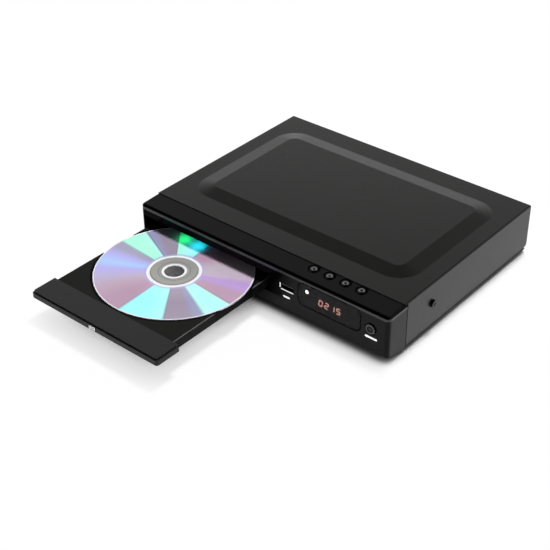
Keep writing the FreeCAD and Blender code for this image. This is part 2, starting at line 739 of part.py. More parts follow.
disc = cells("disc", x=-50.8, open_y=-127.4, radius=60.0, hole=7.5, thick=1.2, bottom=23.2, travel=117.0)
tray = cells("tray", half_width=58.8, low=16.8, top=24.2, back=-48.4, front=-189.0, well=60.8,
             floor_radius=57.6, floor=22.4, small_well=40.6, small_floor=21.6, skin=20.6, skirt=2.0,
             window=26.0, window_back=70.0, corner=3.0, lip=0.8)
door = cells("door", low_x=-114.1, high_x=12.5, front=-210.5, low=18.4, ledge=22.3, groove=22.9, step=1.2,
             corner=2.0, wall=2.2, floor=20.8, lamp=3.0, lamp_deep=1.0, lamp_proud=0.2, lamp_low=18.7,
             lamp_high=22.0)
discY = disc.open_y
homeY = disc.open_y + disc.travel


def makeDisc():
    plate = rod("Z", (disc.x, discY), (disc.bottom, disc.bottom + disc.thick), disc.radius)
    hole = rod("Z", (disc.x, discY), (disc.bottom, disc.bottom + disc.thick), disc.hole)
    keep("disc", cut(plate, hole))


def makeTray():
    across = around(disc.x, tray.half_width)
    inside = (across[0] + tray.skirt, across[1] - tray.skirt)
    mould = Moulding("tray")
    mould.pad("XY", (tray.low, tray.top), rectangle(across, (tray.front, tray.back)))
    mould.soften(tray.corner, "z", x=across, y=(tray.back,))
    mould.pocket("XY", (tray.low, tray.skin),
                 rectangle(inside, (tray.front + tray.skirt, tray.back + tray.lip)))
    mould.pocket("XY", (disc.bottom, tray.top + tray.lip), circle(disc.x, discY, tray.well))
    mould.pocket("XY", (tray.floor, tray.top), circle(disc.x, discY, tray.floor_radius))
    mould.pocket("XY", (tray.small_floor, tray.top), circle(disc.x, discY, tray.small_well))
    mould.pocket("XY", (tray.low, tray.top), circle(disc.x, discY, tray.window))
    mould.pocket("XY", (tray.low, tray.top),
                 rectangle(around(disc.x, tray.window), (discY, discY + tray.window_back)))
    rackX = gear.x - gear.big_teeth * gear.module / 2 - gear.play
    bodyX = rackX - gear.module * gear.dedendum
    bars = (gear.rack_low, tray.skin + tray.lip)
    mould.pad("XY", bars, rectangle((inside[0] - tray.lip, bodyX), (gear.rack_front, gear.rack_back)))
    pitch = pi * gear.module
    firstY = gear.y - pitch * gear.rack_ahead
    tooth = mould.pad("XY", bars, toothOutline(bodyX, firstY))
    mould.repeat("LinearPattern", tooth, "Y", gear.rack_ahead + gear.rack_behind + 1,
                 Length=pitch * (gear.rack_ahead + gear.rack_behind))
    keep("tray", mould.body)


def makeDoor():
    flap = Moulding("tray_door")
    x = (door.low_x, door.high_x)
    y = (door.front, tray.front)
    inner = (x[0] + door.step, x[1] - door.step)
    deep = (x[0] + 2 * door.step, x[1] - 2 * door.step)
    flap.pad("XY", (door.low, door.ledge), rectangle(x, y))
    flap.soften(door.corner, "z", x=x, y=(door.front,))
    flap.pad("XY", (door.ledge, door.groove), rectangle(deep, (y[0] + 2 * door.step, y[1])))
    flap.pad("XY", (door.groove, tray.top), rectangle(inner, (y[0] + door.step, y[1])))
    flap.soften(door.step, "z", x=inner, y=(y[0] + door.step,))
    flap.pocket("XY", (door.low, door.floor), rectangle((x[0] + door.wall, x[1] - door.wall),
                                                        (y[0] + door.wall, y[1] - door.wall)))
    flap.pocket("XZ", (door.front, door.front + door.lamp_deep),
                rectangle(around(disc.x, door.lamp), (door.lamp_low, door.lamp_high)))
    keep("tray_door", flap.body)
    lampY = (door.front - door.lamp_proud, door.front + door.lamp_deep)
    keep("tray_indicator", block(around(disc.x, door.lamp), lampY, (door.lamp_low, door.lamp_high)))


# Gear train: motor pulley, belt, pulley gear and tray gear, which drives the rack under the tray

gear = cells("gear", module=1.0, addendum=0.85, dedendum=1.15, play=0.1, x=-94.6, y=-58.5, big_teeth=18,
             small_teeth=8, low=17.3, high=20.0, bore=1.6, post=1.5, shoulder=2.2, root_half=0.95,
             tip_half=0.28, overlap=0.3, rack_ahead=39, rack_behind=2, rack_front=-184.0, rack_back=-51.0,
             rack_low=17.2)
drive = cells("drive", pulley=10.0, small_pulley=3.4, low=14.9, high=16.5, groove=0.7, flange_reach=1.0,
              motor_gap=26.0, motor_radius=10.4, motor_low=3.4, motor_top=12.4, motor_hole=3.0, shaft=1.0,
              belt_gap=0.08, belt_half=0.45, belt_thick=0.9)
meshingTurn = 10


def toothOutline(root, middle):
    tip = root + gear.module * (gear.addendum + gear.dedendum)
    wide = gear.root_half * gear.module
    narrow = gear.tip_half * gear.module
    return polygon((root - gear.overlap, middle - wide), (root, middle - wide), (tip, middle - narrow),
                   (tip, middle + narrow), (root, middle + wide), (root - gear.overlap, middle + wide))


def toothedWheel(mould, teeth, turn):
    root = teeth * gear.module / 2 - gear.module * gear.dedendum
    mould.pad("XY", (gear.low, gear.high), circle(0, 0, root))
    tooth = mould.pad("XY", (gear.low, gear.high), toothOutline(root, asSize(0)))
    mould.repeat("PolarPattern", tooth, "Z", teeth)
    mould.body.Placement.Rotation = FreeCAD.Rotation(FreeCAD.Vector(0, 0, 1), turn)


pulleyX = gear.x + (gear.big_teeth + gear.small_teeth) * gear.module / 2 + gear.play
motorX = pulleyX + drive.motor_gap


def makeGears():
    wheel = Moulding("tray_gear")
    toothedWheel(wheel, gear.big_teeth, meshingTurn)
    wheel.pocket("XY", (gear.low, gear.high), circle(0, 0, gear.bore))
    moveTo(wheel.body, gear.x, gear.y, 0)
    keep("tray_gear", wheel.body)
    wheel = Moulding("pulley_gear")
    toothedWheel(wheel, gear.small_teeth, 0)
    wheel.pad("XY", (drive.low, drive.high), circle(0, 0, drive.pulley))
    wheel.pad("XY", (drive.high, gear.low), circle(0, 0, gear.shoulder))
    wheel.pocket("XY", (drive.low, gear.high), circle(0, 0, gear.bore))
    middle = (drive.low + drive.high) / 2
    wheel.pocket("XY", around(middle, drive.belt_half + fit.loose),
                 circle(0, 0, drive.pulley + drive.flange_reach), circle(0, 0, drive.pulley - drive.groove))
    moveTo(wheel.body, pulleyX, gear.y, 0)
    keep("pulley_gear", wheel.body)


def makeMotor():
    can = rod("Z", (motorX, gear.y), (drive.motor_low, drive.motor_top), drive.motor_radius)
    shaft = rod("Z", (motorX, gear.y), (drive.motor_top, drive.high - drive.groove), drive.shaft)
    keep("loading_motor", join(can, shaft))
    spool = rod("Z", (motorX, gear.y), (drive.low, drive.high), drive.small_pulley)
    middle = (drive.low + drive.high) / 2
    groove = tube("Z", (motorX, gear.y), around(middle, drive.belt_half + fit.loose),
                  drive.small_pulley + drive.flange_reach, drive.small_pulley - drive.groove)
    bore = rod("Z", (motorX, gear.y), (drive.low, drive.high - drive.groove / 2), drive.shaft + fit.close)
    keep("motor_pulley", cut(spool, groove, bore))


def beltLoop(mould, kind, small, large):
    # Two arcs and the two straight runs that touch both of them
    gap = drive.motor_gap.value
    lean = math.asin((large.value - small.value) / gap)
    centreLarge = FreeCAD.Vector(pulleyX.value, gear.y.value, 0)
    centreSmall = FreeCAD.Vector(motorX.value, gear.y.value, 0)
    up = FreeCAD.Vector(0, 0, 1)

    def draw(sketch):
        quarter = math.pi / 2
        sketch.addGeometry(Part.ArcOfCircle(Part.Circle(centreLarge, up, large.value),
                                            quarter - lean, 3 * quarter + lean), False)
        sketch.addGeometry(Part.ArcOfCircle(Part.Circle(centreSmall, up, small.value),
                                            -quarter + lean, quarter - lean), False)
        ends = []
        for way in (1, -1):
            touch = FreeCAD.Vector(math.sin(lean), way * math.cos(lean), 0)
            ends.append((centreLarge + touch * large.value, centreSmall + touch * small.value))
        sketch.addGeometry(Part.LineSegment(ends[0][1], ends[0][0]), False)
        sketch.addGeometry(Part.LineSegment(ends[1][0], ends[1][1]), False)
        for first, firstEnd, second, secondEnd in ((2, 2, 0, 1), (0, 2, 3, 1), (3, 2, 1, 1), (1, 2, 2, 1)):
            sketch.addConstraint(Sketcher.Constraint("Tangent", first, firstEnd, second, secondEnd))
        holdPoint(sketch, (0, 3), pulleyX, gear.y)
        holdPoint(sketch, (1, 3), motorX, gear.y)
        for arc, radius in ((0, large), (1, small)):
            row = sketch.addConstraint(Sketcher.Constraint("Radius", arc, radius.value))
            sketch.setExpression("Constraints[%d]" % row, radius.text)
    middle = (drive.low + drive.high) / 2
    getattr(mould, kind)("XY", around(middle, drive.belt_half), draw)


def makeBelt():
    band = Moulding("drive_belt")
    small = drive.small_pulley - drive.groove + drive.belt_gap
    large = drive.pulley - drive.groove + drive.belt_gap
    beltLoop(band, "pad", small + drive.belt_thick, large + drive.belt_thick)
    beltLoop(band, "pocket", small, large)
    keep("drive_belt", band.body)


# Loader: a plastic frame with the tray's rails, the gear deck and two slotted walls for the lift's pins

loader = cells("loader", low_x=-113.6, high_x=12.2, wall=2.0, front=-70.5, back=76.0, low=3.2, top=28.4,
               rail=3.7, rail_low=12.5, rail_top=16.5, deck_back=-46.0, deck_low=12.5, deck_top=14.5,
               guide_front=-46.0, guide_back=64.7, guide_thick=1.8, guide_top=16.3, hook_low=24.9,
               hook_high=26.5, hook_long=6.0, hook_first=-69.0, hook_second=-55.0, foot_low=6.0,
               foot_high=8.0, foot=9.0, foot_in=4.8, boss_low=25.4, boss=5.0, boss_half=4.0)
bridge = cells("bridge", low=28.4, top=29.9, half=13.0, hole=9.5, screw=3.0, end=3.4)
clamp = cells("clamp", puck=12.0, low=25.7, high=27.9, neck=9.0, cap_low=30.3, cap=11.6, cap_high=32.3,
              recess=7.9, recess_depth=1.4)
lift = cells("lift", rise=8.65, travel=10.0, pin=1.0, pin_z=5.35, pin_x=24.0, slack=0.25, half_width=31.0,
             front=-41.5, back=62.0, low=4.2, high=7.6, side=5.0, end=4.0, lug_high=5.4, lug_long=8.0)
cam = cells("cam", thick=1.5, gap=0.7, low=3.3, high=16.2, bar_low_x=-90.0, bar_high_x=-86.0, bar_high=8.0,
            reach=6.0)


def loaderFeet():
    xs = (loader.low_x + loader.wall + loader.foot_in, loader.high_x - loader.wall - loader.foot_in)
    ys = (loader.front + loader.foot_in, loader.back - loader.foot_in)
    return [(x, y) for x in xs for y in ys]


def bridgeEnds():
    return [(loader.low_x + bridge.end, homeY), (loader.high_x - bridge.end, homeY)]


def makeLoader():
    low, high = loader.low_x + loader.wall, loader.high_x - loader.wall
    length = (loader.front, loader.back)
    pieces = []
    for outer, inner, way in ((loader.low_x, low, 1), (loader.high_x, high, -1)):
        pieces.append(block((outer, inner), length, (loader.low, loader.top)))
        pieces.append(block((inner, inner + way * loader.rail), length, (loader.rail_low, loader.rail_top)))
        for y in (loader.hook_first, loader.hook_second):
            pieces.append(block((inner, inner + way * loader.rail), (y, y + loader.hook_long),
                                (loader.hook_low, loader.hook_high)))
        pieces.append(block((inner, inner + way * loader.boss), around(homeY, loader.boss_half),
                            (loader.boss_low, loader.top)))
        for y, deep in ((loader.front, 1), (loader.back, -1)):
            pieces.append(block((inner, inner + way * loader.foot), (y, y + deep * loader.foot),
                                (loader.foot_low, loader.foot_high)))
    pieces.append(block((low, high), (loader.front, loader.deck_back), (loader.deck_low, loader.deck_top)))
    for y in (loader.guide_front, loader.guide_back):
        pieces.append(block((low, high), (y, y + loader.guide_thick), (loader.low, loader.guide_top)))
    pieces.append(rod("Z", (gear.x, gear.y), (loader.deck_low, gear.low - case.gap), gear.shoulder))
    for x in (gear.x, pulleyX):
        pieces.append(rod("Z", (x, gear.y), (loader.deck_low, gear.high + case.gap), gear.post))
    holes = [rod("Z", (motorX, gear.y), (loader.deck_low, loader.deck_top), drive.motor_hole)]
    for x, y in loaderFeet():
        holes.append(rod("Z", (x, y), (loader.foot_low, loader.foot_high), screwHole))
        holes.append(rod("Z", (x, y), (loader.deck_low, loader.rail_top), screw.head + case.gap))
    for x, y in bridgeEnds():
        holes.append(rod("Z", (x, y), (loader.boss_low, loader.top), screwHole))
    width = lift.pin + lift.slack
    for y in (loader.guide_front, loader.guide_back):
        for way in (-1, 1):
            holes.append(block(around(disc.x + way * lift.pin_x, width), (y, y + loader.guide_thick),
                               (lift.pin_z - width, loader.guide_top)))
    keep("loader_frame", cut(join(*pieces), *holes))


def makeClamp():
    plate = block((loader.low_x, loader.high_x), around(homeY, bridge.half), (bridge.low, bridge.top))
    holes = [rod("Z", (disc.x, homeY), (bridge.low, bridge.top), bridge.hole)]
    holes += [rod("Z", spot, (bridge.low, bridge.top), screwHole) for spot in bridgeEnds()]
    keep("clamp_bridge", cut(plate, *holes))
    puck = rod("Z", (disc.x, homeY), (clamp.low, clamp.high), clamp.puck)
    neck = rod("Z", (disc.x, homeY), (clamp.high, clamp.cap_low), clamp.neck)
    recess = rod("Z", (disc.x, homeY), (clamp.low, clamp.low + clamp.recess_depth), clamp.recess)
    keep("clamper", cut(join(puck, neck), recess))
    keep("clamper_cap", rod("Z", (disc.x, homeY), (clamp.cap_low, clamp.cap_high), clamp.cap))


# Lift: the cam slider moves sideways, and its slanted slots raise the frame's four pins

def slantedSlot(x, y):
    # The slot starts at the lowered pin and rises by the lift over the slider's travel
    centres = [(x, lift.pin_z), (x + lift.travel, lift.pin_z + lift.rise)]
    radius = lift.pin + lift.slack
    ends = [rod("Y", centre, y, radius) for centre in centres]
    length = math.hypot(lift.travel.value, lift.rise.value)
    run = Size(length, "sqrt(pow(" + lift.travel.text + "; 2) + pow(" + lift.rise.text + "; 2))")
    bar = block((0, run), (0, y[1] - y[0]), around(0, radius))
    lean = math.degrees(math.atan2(lift.rise.value, lift.travel.value))
    bar.Placement.Rotation = FreeCAD.Rotation(FreeCAD.Vector(0, 1, 0), -lean)
    sine = lift.rise / run
    cosine = lift.travel / run
    moveTo(bar, x + radius * sine, y[0], lift.pin_z - radius * cosine)
    return ends + [bar]


def cheekSpans():
    ahead = lift.front - cam.gap
    behind = lift.back + cam.gap
    return ((ahead - cam.thick, ahead), (behind, behind + cam.thick))


def makeCam():
    pieces = []
    slots = []
    spans = cheekSpans()
    far = disc.x + lift.pin_x + lift.travel + cam.reach
    for y in spans:
        pieces.append(block((cam.bar_low_x, far), y, (cam.low, cam.high)))
        for way in (-1, 1):
            slots += slantedSlot(disc.x + way * lift.pin_x, y)
    pieces.append(block((cam.bar_low_x, cam.bar_high_x), (spans[0][0], spans[1][1]), (cam.low, cam.bar_high)))
    keep("cam_slider", cut(join(*pieces), *slots))


damper = cells("damper", x=20.0, front=-29.0, back=51.0, radius=3.2, neck=2.2, post=1.0, top=8.0)
plate = cells("plate", half=24.5, front=-34.0, back=57.0, low=6.2, high=7.2, window=11.6, ahead=1.0)
damperSpots = [(disc.x + way * damper.x, y) for way in (-1, 1) for y in (damper.front, damper.back)]


def makeLift():
    outerX = around(disc.x, lift.half_width)
    inner = (block(around(disc.x, lift.half_width - lift.side), (lift.front + lift.end, lift.back - lift.end),
                   (lift.low, lift.high)))
    ring = cut(block(outerX, (lift.front, lift.back), (lift.low, lift.high)), inner)
    pieces = [ring]
    for x, y in damperSpots:
        way = 1 if x.value > disc.x.value else -1
        edge = disc.x + way * (lift.half_width - lift.side + case.gap)
        pieces.append(block((edge, x - way * damper.radius), around(y, lift.lug_long / 2),
                            (lift.low, lift.lug_high)))
        pieces.append(rod("Z", (x, y), (lift.low, damper.top), damper.post))
    spans = ((lift.front + lift.end / 2, loader.guide_front + case.gap),
             (lift.back - lift.end / 2, loader.guide_back + loader.guide_thick - case.gap))
    for y in spans:
        for way in (-1, 1):
            pieces.append(rod("Y", (disc.x + way * lift.pin_x, lift.pin_z), y, lift.pin))
    keep("lift_frame", join(*pieces))


def makeDampers():
    made = []
    for spot in damperSpots:
        lower = rod("Z", spot, (lift.lug_high, plate.low), damper.radius)
        neck = rod("Z", spot, (plate.low, plate.high), damper.neck)
        upper = rod("Z", spot, (plate.high, damper.top), damper.radius)
        bore = rod("Z", spot, (lift.lug_high, damper.top), damper.post)
        made.append(cut(join(lower, neck, upper), bore))
    keep("rubber_dampers", separate(*made))


# Traverse: a steel plate with the spindle, the sled on its rods and the screw that moves it

spindle = cells("spindle", radius=12.0, high=11.0, boss=6.0, boss_high=11.4, shaft=0.75, shaft_high=13.6,
                table=13.0, table_low=11.9, seat=14.5, hub=7.3, hub_high=16.3, hub_top=6.5, collar=15.4,
                bore=0.82)
sled = cells("sled", inner=24.0, ahead=10.0, behind=6.0, low=8.2, high=12.6, rod=1.25, rod_z=9.9,
             rod_left=20.5, rod_right=16.0, over=2.2, slack=0.08, lens=3.0, lens_high=13.15, rod_front=1.2,
             rod_back=56.0, holder=1.6, holder_half=1.9, holder_high=12.0)
worm = cells("worm", x=20.6, z=9.6, radius=1.4, motor_front=-18.0, motor_back=-4.0, motor=4.3, back=55.5,
             nut_half=2.6, nut_front=2.0, nut_back=8.0, slot=0.3)
lensY = homeY + sled.inner


def sledX():
    return (disc.x - sled.rod_left - sled.over, disc.x + sled.rod_right + sled.over)


def makePlate():
    z = (plate.low, plate.high)
    base = block(around(disc.x, plate.half), (plate.front, plate.back), z)
    near = (sled.rod_front, sled.rod_front + sled.holder)
    far = (sled.rod_back - sled.holder, sled.rod_back)
    rodXs = (disc.x - sled.rod_left, disc.x + sled.rod_right)
    places = [(x, y) for x in rodXs for y in (near, far)] + [(disc.x + worm.x, far)]
    blocks = [block(around(x, sled.holder_half), y, (plate.low, sled.holder_high)) for x, y in places]
    holes = [rod("Z", spot, z, damper.neck) for spot in damperSpots]
    holes.append(block(around(disc.x + worm.x, worm.motor + worm.slot),
                       (worm.motor_front - worm.slot, worm.motor_back + worm.slot), z))
    bores = [rod("Y", (x, sled.rod_z), (sled.rod_front, sled.rod_back), sled.rod) for x in rodXs]
    bores.append(rod("Y", (disc.x + worm.x, worm.z), (sled.rod_front, sled.rod_back),
                     worm.radius + sled.slack))
    light = block(around(disc.x, plate.window),
                  (homeY + spindle.table + plate.ahead, sled.rod_back - sled.over), z)
    keep("traverse_plate", cut(join(base, *blocks), *holes, *bores, light))


def makeSpindle():
    at = (disc.x, homeY)
    can = rod("Z", at, (plate.high, spindle.high), spindle.radius)
    boss = rod("Z", at, (spindle.high, spindle.boss_high), spindle.boss)
    shaft = rod("Z", at, (spindle.boss_high, spindle.shaft_high), spindle.shaft)
    keep("spindle_motor", join(can, boss, shaft))
    table = rod("Z", at, (spindle.table_low, spindle.seat), spindle.table)
    collar = rod("Z", at, (spindle.seat, spindle.collar), spindle.hub)
    nose = taper("Z", at, (spindle.collar, spindle.hub_high), (spindle.hub, spindle.hub_top))
    bore = rod("Z", at, (spindle.table_low, spindle.shaft_high + case.gap), spindle.bore)
    keep("turntable", cut(join(table, collar, nose), bore))


def makeSled():
    y = (lensY - sled.ahead, lensY + sled.behind)
    body = block(sledX(), y, (sled.low, sled.high))
    nutX = around(disc.x + worm.x, worm.nut_half)
    nutY = (lensY - worm.nut_back, lensY - worm.nut_front)
    nut = block((sledX()[1] - sled.over, nutX[1]), nutY, (sled.low, sled.holder_high))
    bores = [rod("Y", (x, sled.rod_z), y, sled.rod + sled.slack)
             for x in (disc.x - sled.rod_left, disc.x + sled.rod_right)]
    bores.append(rod("Y", (disc.x + worm.x, worm.z), y, worm.radius + sled.slack))
    well = rod("Z", (disc.x, lensY), (sled.high - sled.over / 2, sled.high), sled.lens)
    keep("pickup_sled", cut(join(body, nut), *bores, well))
    keep("pickup_lens", rod("Z", (disc.x, lensY), (sled.high - sled.over / 2, sled.lens_high), sled.lens))


def makeRods():
    y = (sled.rod_front, sled.rod_back)
    rods = [rod("Y", (x, sled.rod_z), y, sled.rod) for x in (disc.x - sled.rod_left, disc.x + sled.rod_right)]
    keep("guide_rods", separate(*rods))
    axis = (disc.x + worm.x, worm.z)
    keep("sled_motor", rod("Y", axis, (worm.motor_front, worm.motor_back), worm.motor))
    keep("lead_screw", rod("Y", axis, (worm.motor_back + case.gap, worm.back), worm.radius))


makeCover()
makePan()
makeFeet()
makeScrews()
makeBezel()
makeWindow()
makeButtons()
makeUsb()
makeFrontBoards()
makeLights()
makeBoards()
makeChips()
makeRibbon()
makeSupply()
makeInlet()
makeSockets()
makeRearPanel()
makeDisc()
makeTray()
makeDoor()
makeGears()
makeMotor()
makeBelt()
makeLoader()
makeClamp()
makeCam()
makeLift()
makeDampers()
makePlate()
makeSpindle()
makeSled()
makeRods()


# Check every object, and write one file for each sub-part

doc.recompute()
for thing in doc.Objects:
    for word in ("Invalid", "Error"):
        if word in thing.State:
            raise RuntimeError(thing.Name + " of " + thing.Label + " is " + word)
    if thing.TypeId == "PartDesign::Pocket":
        before = thing.BaseFeature.Shape.Volume
        if before - thing.Shape.Volume < 0.01:
            raise RuntimeError(thing.Name + " cuts nothing")
for thing in nodes:
    if thing.Shape.isNull() or not thing.Shape.isValid():
        raise RuntimeError(thing.Label + " has no valid shape")
    thing.Shape.exportStep("parts/" + thing.Label + ".step")
print(len(nodes), "sub-parts")
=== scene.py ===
import json
import math

import bmesh
import bpy
from mathutils import Matrix, Vector

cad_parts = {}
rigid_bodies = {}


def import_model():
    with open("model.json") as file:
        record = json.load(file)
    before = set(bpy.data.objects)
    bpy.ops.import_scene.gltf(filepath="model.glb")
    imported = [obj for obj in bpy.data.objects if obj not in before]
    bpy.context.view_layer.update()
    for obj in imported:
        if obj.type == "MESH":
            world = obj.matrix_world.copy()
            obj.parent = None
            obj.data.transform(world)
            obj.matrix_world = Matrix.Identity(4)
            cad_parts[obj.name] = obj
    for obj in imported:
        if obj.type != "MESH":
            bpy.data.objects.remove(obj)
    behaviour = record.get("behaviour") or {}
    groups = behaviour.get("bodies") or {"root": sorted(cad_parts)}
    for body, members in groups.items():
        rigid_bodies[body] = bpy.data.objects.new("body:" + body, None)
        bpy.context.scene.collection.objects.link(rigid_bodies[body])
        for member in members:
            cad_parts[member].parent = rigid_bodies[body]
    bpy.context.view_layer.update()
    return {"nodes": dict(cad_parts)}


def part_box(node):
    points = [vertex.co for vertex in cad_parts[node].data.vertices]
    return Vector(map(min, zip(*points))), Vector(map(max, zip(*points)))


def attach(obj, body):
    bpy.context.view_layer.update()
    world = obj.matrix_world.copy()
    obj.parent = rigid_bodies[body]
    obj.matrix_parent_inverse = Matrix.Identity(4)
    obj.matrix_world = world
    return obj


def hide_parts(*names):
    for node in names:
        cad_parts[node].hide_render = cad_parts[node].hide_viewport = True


# A disc player with its tray out. Metres, X along the front, Y from front to back, Z up.

for leftover in list(bpy.data.objects):
    bpy.data.objects.remove(leftover)
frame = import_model()
nodes = frame["nodes"]
mm = 0.001
print("frame loaded:", len(nodes), "nodes")


def boxOf(name):
    low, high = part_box(name)
    return [part / mm for part in low], [part / mm for part in high]


# Colours are written as they look on a screen, 0 to 255

def tint(red, green, blue):
    linear = []
    for value in (red, green, blue):
        part = value / 255
        linear.append(part / 12.92 if part <= 0.04045 else ((part + 0.055) / 1.055) ** 2.4)
    return (*linear, 1.0)


def shaded(colour, amount):
    return (*[min(1.0, part * amount) for part in colour[:3]], 1.0)


# Shader sums: a wire is a socket that can be added, multiplied and compared

class Wire:
    def __init__(self, paint, socket):
        self.paint = paint
        self.socket = socket

    def sum(self, operation, first, second):
        return self.paint.node("ShaderNodeMath", {"operation": operation}, {0: first, 1: second})

    def __add__(self, other):
        return self.sum("ADD", self, other)

    def __sub__(self, other):
        return self.sum("SUBTRACT", self, other)

    def __rsub__(self, other):
        return self.sum("SUBTRACT", other, self)

    def __mul__(self, other):
        return self.sum("MULTIPLY", self, other)

    def __truediv__(self, other):
        return self.sum("DIVIDE", self, other)

    def __pow__(self, other):
        return self.sum("POWER", self, other)

    def __gt__(self, other):
        return self.sum("GREATER_THAN", self, other)

    def __lt__(self, other):
        return self.sum("LESS_THAN", self, other)

    def __or__(self, other):
        return self.sum("MAXIMUM", self, other)

    def __abs__(self):
        return self.paint.node("ShaderNodeMath", {"operation": "ABSOLUTE"}, {0: self})

    __radd__ = __add__
    __rmul__ = __mul__


class Paint:
    def __init__(self, name, owner=None):
        self.owner = owner or bpy.data.materials.new(name)
        self.owner.use_nodes = True
        self.tree = self.owner.node_tree
        self.tree.nodes.clear()
        self.where = self.node("ShaderNodeTexCoord", output="Object")

    def node(self, kind, settings={}, inputs={}, output=0):
        made = self.tree.nodes.new(kind)
        for name, value in settings.items():
            if name == "stops":
                self.fillRamp(made.color_ramp, value)
            else:
                setattr(made, name, value)
        for name, value in inputs.items():
            if isinstance(value, Wire):
                self.tree.links.new(value.socket, made.inputs[name])
            else:
                made.inputs[name].default_value = value
        return Wire(self, made.outputs[output])

    def fillRamp(self, ramp, stops):
        for index, (position, colour) in enumerate(stops):
            if index < 2:
                stop = ramp.elements[index]
                stop.position = position
            else:
                stop = ramp.elements.new(position)
            stop.color = colour

    def axes(self):
        # the place on the piece, in millimetres
        parts = self.node("ShaderNodeSeparateXYZ", {}, {0: self.where})
        return [Wire(self, socket) / mm for socket in parts.socket.node.outputs]

    def pingPong(self, value, size):
        return self.node("ShaderNodeMath", {"operation": "PINGPONG"}, {0: value, 1: size})

    def noise(self, size, detail=2.0, stretch=(1, 1, 1)):
        place = self.where
        if stretch != (1, 1, 1):
            place = self.node("ShaderNodeMapping", {}, {"Vector": place, "Scale": stretch})
        return self.node("ShaderNodeTexNoise", {},
                         {"Vector": place, "Scale": 1 / (size * mm), "Detail": detail})

    def cells(self, size):
        return self.node("ShaderNodeTexVoronoi", {"feature": "F1"},
                         {"Vector": self.where, "Scale": 1 / (size * mm)})

    def ease(self, value, low, high):
        return self.node("ShaderNodeMapRange", {"interpolation_type": "SMOOTHSTEP"},
                         {"Value": value, "From Min": low, "From Max": high})

    def mix(self, amount, first, second):
        return self.node("ShaderNodeMix", {"data_type": "RGBA"}, {0: amount, 6: first, 7: second}, output=2)

    def bump(self, height, strength, distance):
        return self.node("ShaderNodeBump", {},
                         {"Height": height, "Strength": strength, "Distance": distance * mm})

    def finish(self, colour, roughness, **more):
        inputs = {"Base Color": colour, "Roughness": roughness}
        for name, value in more.items():
            inputs[name.replace("_", " ")] = value
        return self.output(self.node("ShaderNodeBsdfPrincipled", {}, inputs))

    def output(self, shader, kind="ShaderNodeOutputMaterial"):
        end = self.tree.nodes.new(kind)
        self.tree.links.new(shader.socket, end.inputs[0])
        return self.owner


# Finishes: each takes a tone and what differs from piece to piece

def mouldedPlastic(name, tone, rough=0.42, grain=0.12, grainSize=0.35, drift=0.10, shine=0.5, smudge=0.05):
    paint = Paint(name)
    wide = paint.noise(26.0, 3.0)
    fine = paint.noise(grainSize, 1.5)
    colour = paint.mix(wide, shaded(tone, 1 - drift), shaded(tone, 1 + drift))
    roughness = rough + (wide - 0.5) * smudge * 2 + (fine - 0.5) * 0.06
    normal = paint.bump(fine, grain, 0.05)
    return paint.finish(colour, roughness, Normal=normal, Specular_IOR_Level=shine)


def texturedPaint(name, tone, rough=0.45, grain=0.25, grainSize=0.55, drift=0.08, shine=0.5):
    paint = Paint(name)
    wide = paint.noise(60.0, 3.0)
    pebble = paint.cells(grainSize)
    fine = paint.noise(grainSize * 0.6, 2.0)
    colour = paint.mix(wide, shaded(tone, 1 - drift), shaded(tone, 1 + drift))
    colour = paint.mix(paint.ease(fine, 0.62, 0.8) * 0.25, colour, shaded(tone, 1.7))
    roughness = rough + (wide - 0.5) * 0.08 + (fine - 0.5) * 0.12
    normal = paint.bump(pebble + fine * 0.6, grain, 0.04)
    return paint.finish(colour, roughness, Normal=normal, Specular_IOR_Level=shine)


def brushedSteel(name, tone, rough=0.32, stretch=(1, 12, 1), grain=0.10, size=0.8):
    paint = Paint(name)
    lines = paint.noise(size, 3.0, stretch)
    wide = paint.noise(14.0, 2.0)
    colour = paint.mix(lines, shaded(tone, 0.86), shaded(tone, 1.1))
    roughness = rough + (lines - 0.5) * 0.22 + (wide - 0.5) * 0.1
    return paint.finish(colour, roughness, Metallic=1.0, Normal=paint.bump(lines, grain, 0.02))


def plating(name, tone, rough=0.14, stain=0.12):
    paint = Paint(name)
    wide = paint.noise(5.0, 3.0)
    fine = paint.noise(0.5, 2.0)
    colour = paint.mix(wide, shaded(tone, 1 - stain), shaded(tone, 1.04))
    roughness = rough + (wide - 0.5) * 0.12 + (fine - 0.5) * 0.05
    return paint.finish(colour, roughness, Metallic=1.0, Normal=paint.bump(fine, 0.04, 0.02))


def rubber(name, tone, rough=0.75, grainSize=0.3):
    paint = Paint(name)
    fine = paint.noise(grainSize, 3.0)
    dust = paint.ease(paint.noise(9.0, 4.0), 0.5, 0.8)
    colour = paint.mix(dust * 0.35, tone, shaded(tone, 1.9))
    return paint.finish(colour, rough + (fine - 0.5) * 0.15, Normal=paint.bump(fine, 0.25, 0.05),
                        Specular_IOR_Level=0.3)


def circuitBoard(name, tone, copper=1.35, pitch=2.2):
    paint = Paint(name)
    x, y, z = paint.axes()
    bend = paint.noise(8.0, 0.0)
    across = paint.pingPong(x + bend * 4.0, pitch / 2)
    along = paint.pingPong(y + bend * 3.0, pitch / 2)
    lanes = paint.noise(7.0, 0.0) > 0.5
    run = across * lanes + along * (1 - lanes)
    trace = 1 - paint.ease(run, pitch * 0.14, pitch * 0.2)
    pads = paint.cells(3.1) < 0.16
    weave = paint.noise(0.6, 1.0)
    colour = paint.mix(trace * 0.55, tone, shaded(tone, copper))
    colour = paint.mix(pads, colour, tint(178, 172, 150))
    roughness = 0.42 - trace * 0.08 + (weave - 0.5) * 0.1
    normal = paint.bump(trace + pads * 0.8 + weave * 0.15, 0.25, 0.05)
    return paint.finish(colour, roughness, Metallic=pads * 0.8, Normal=normal)


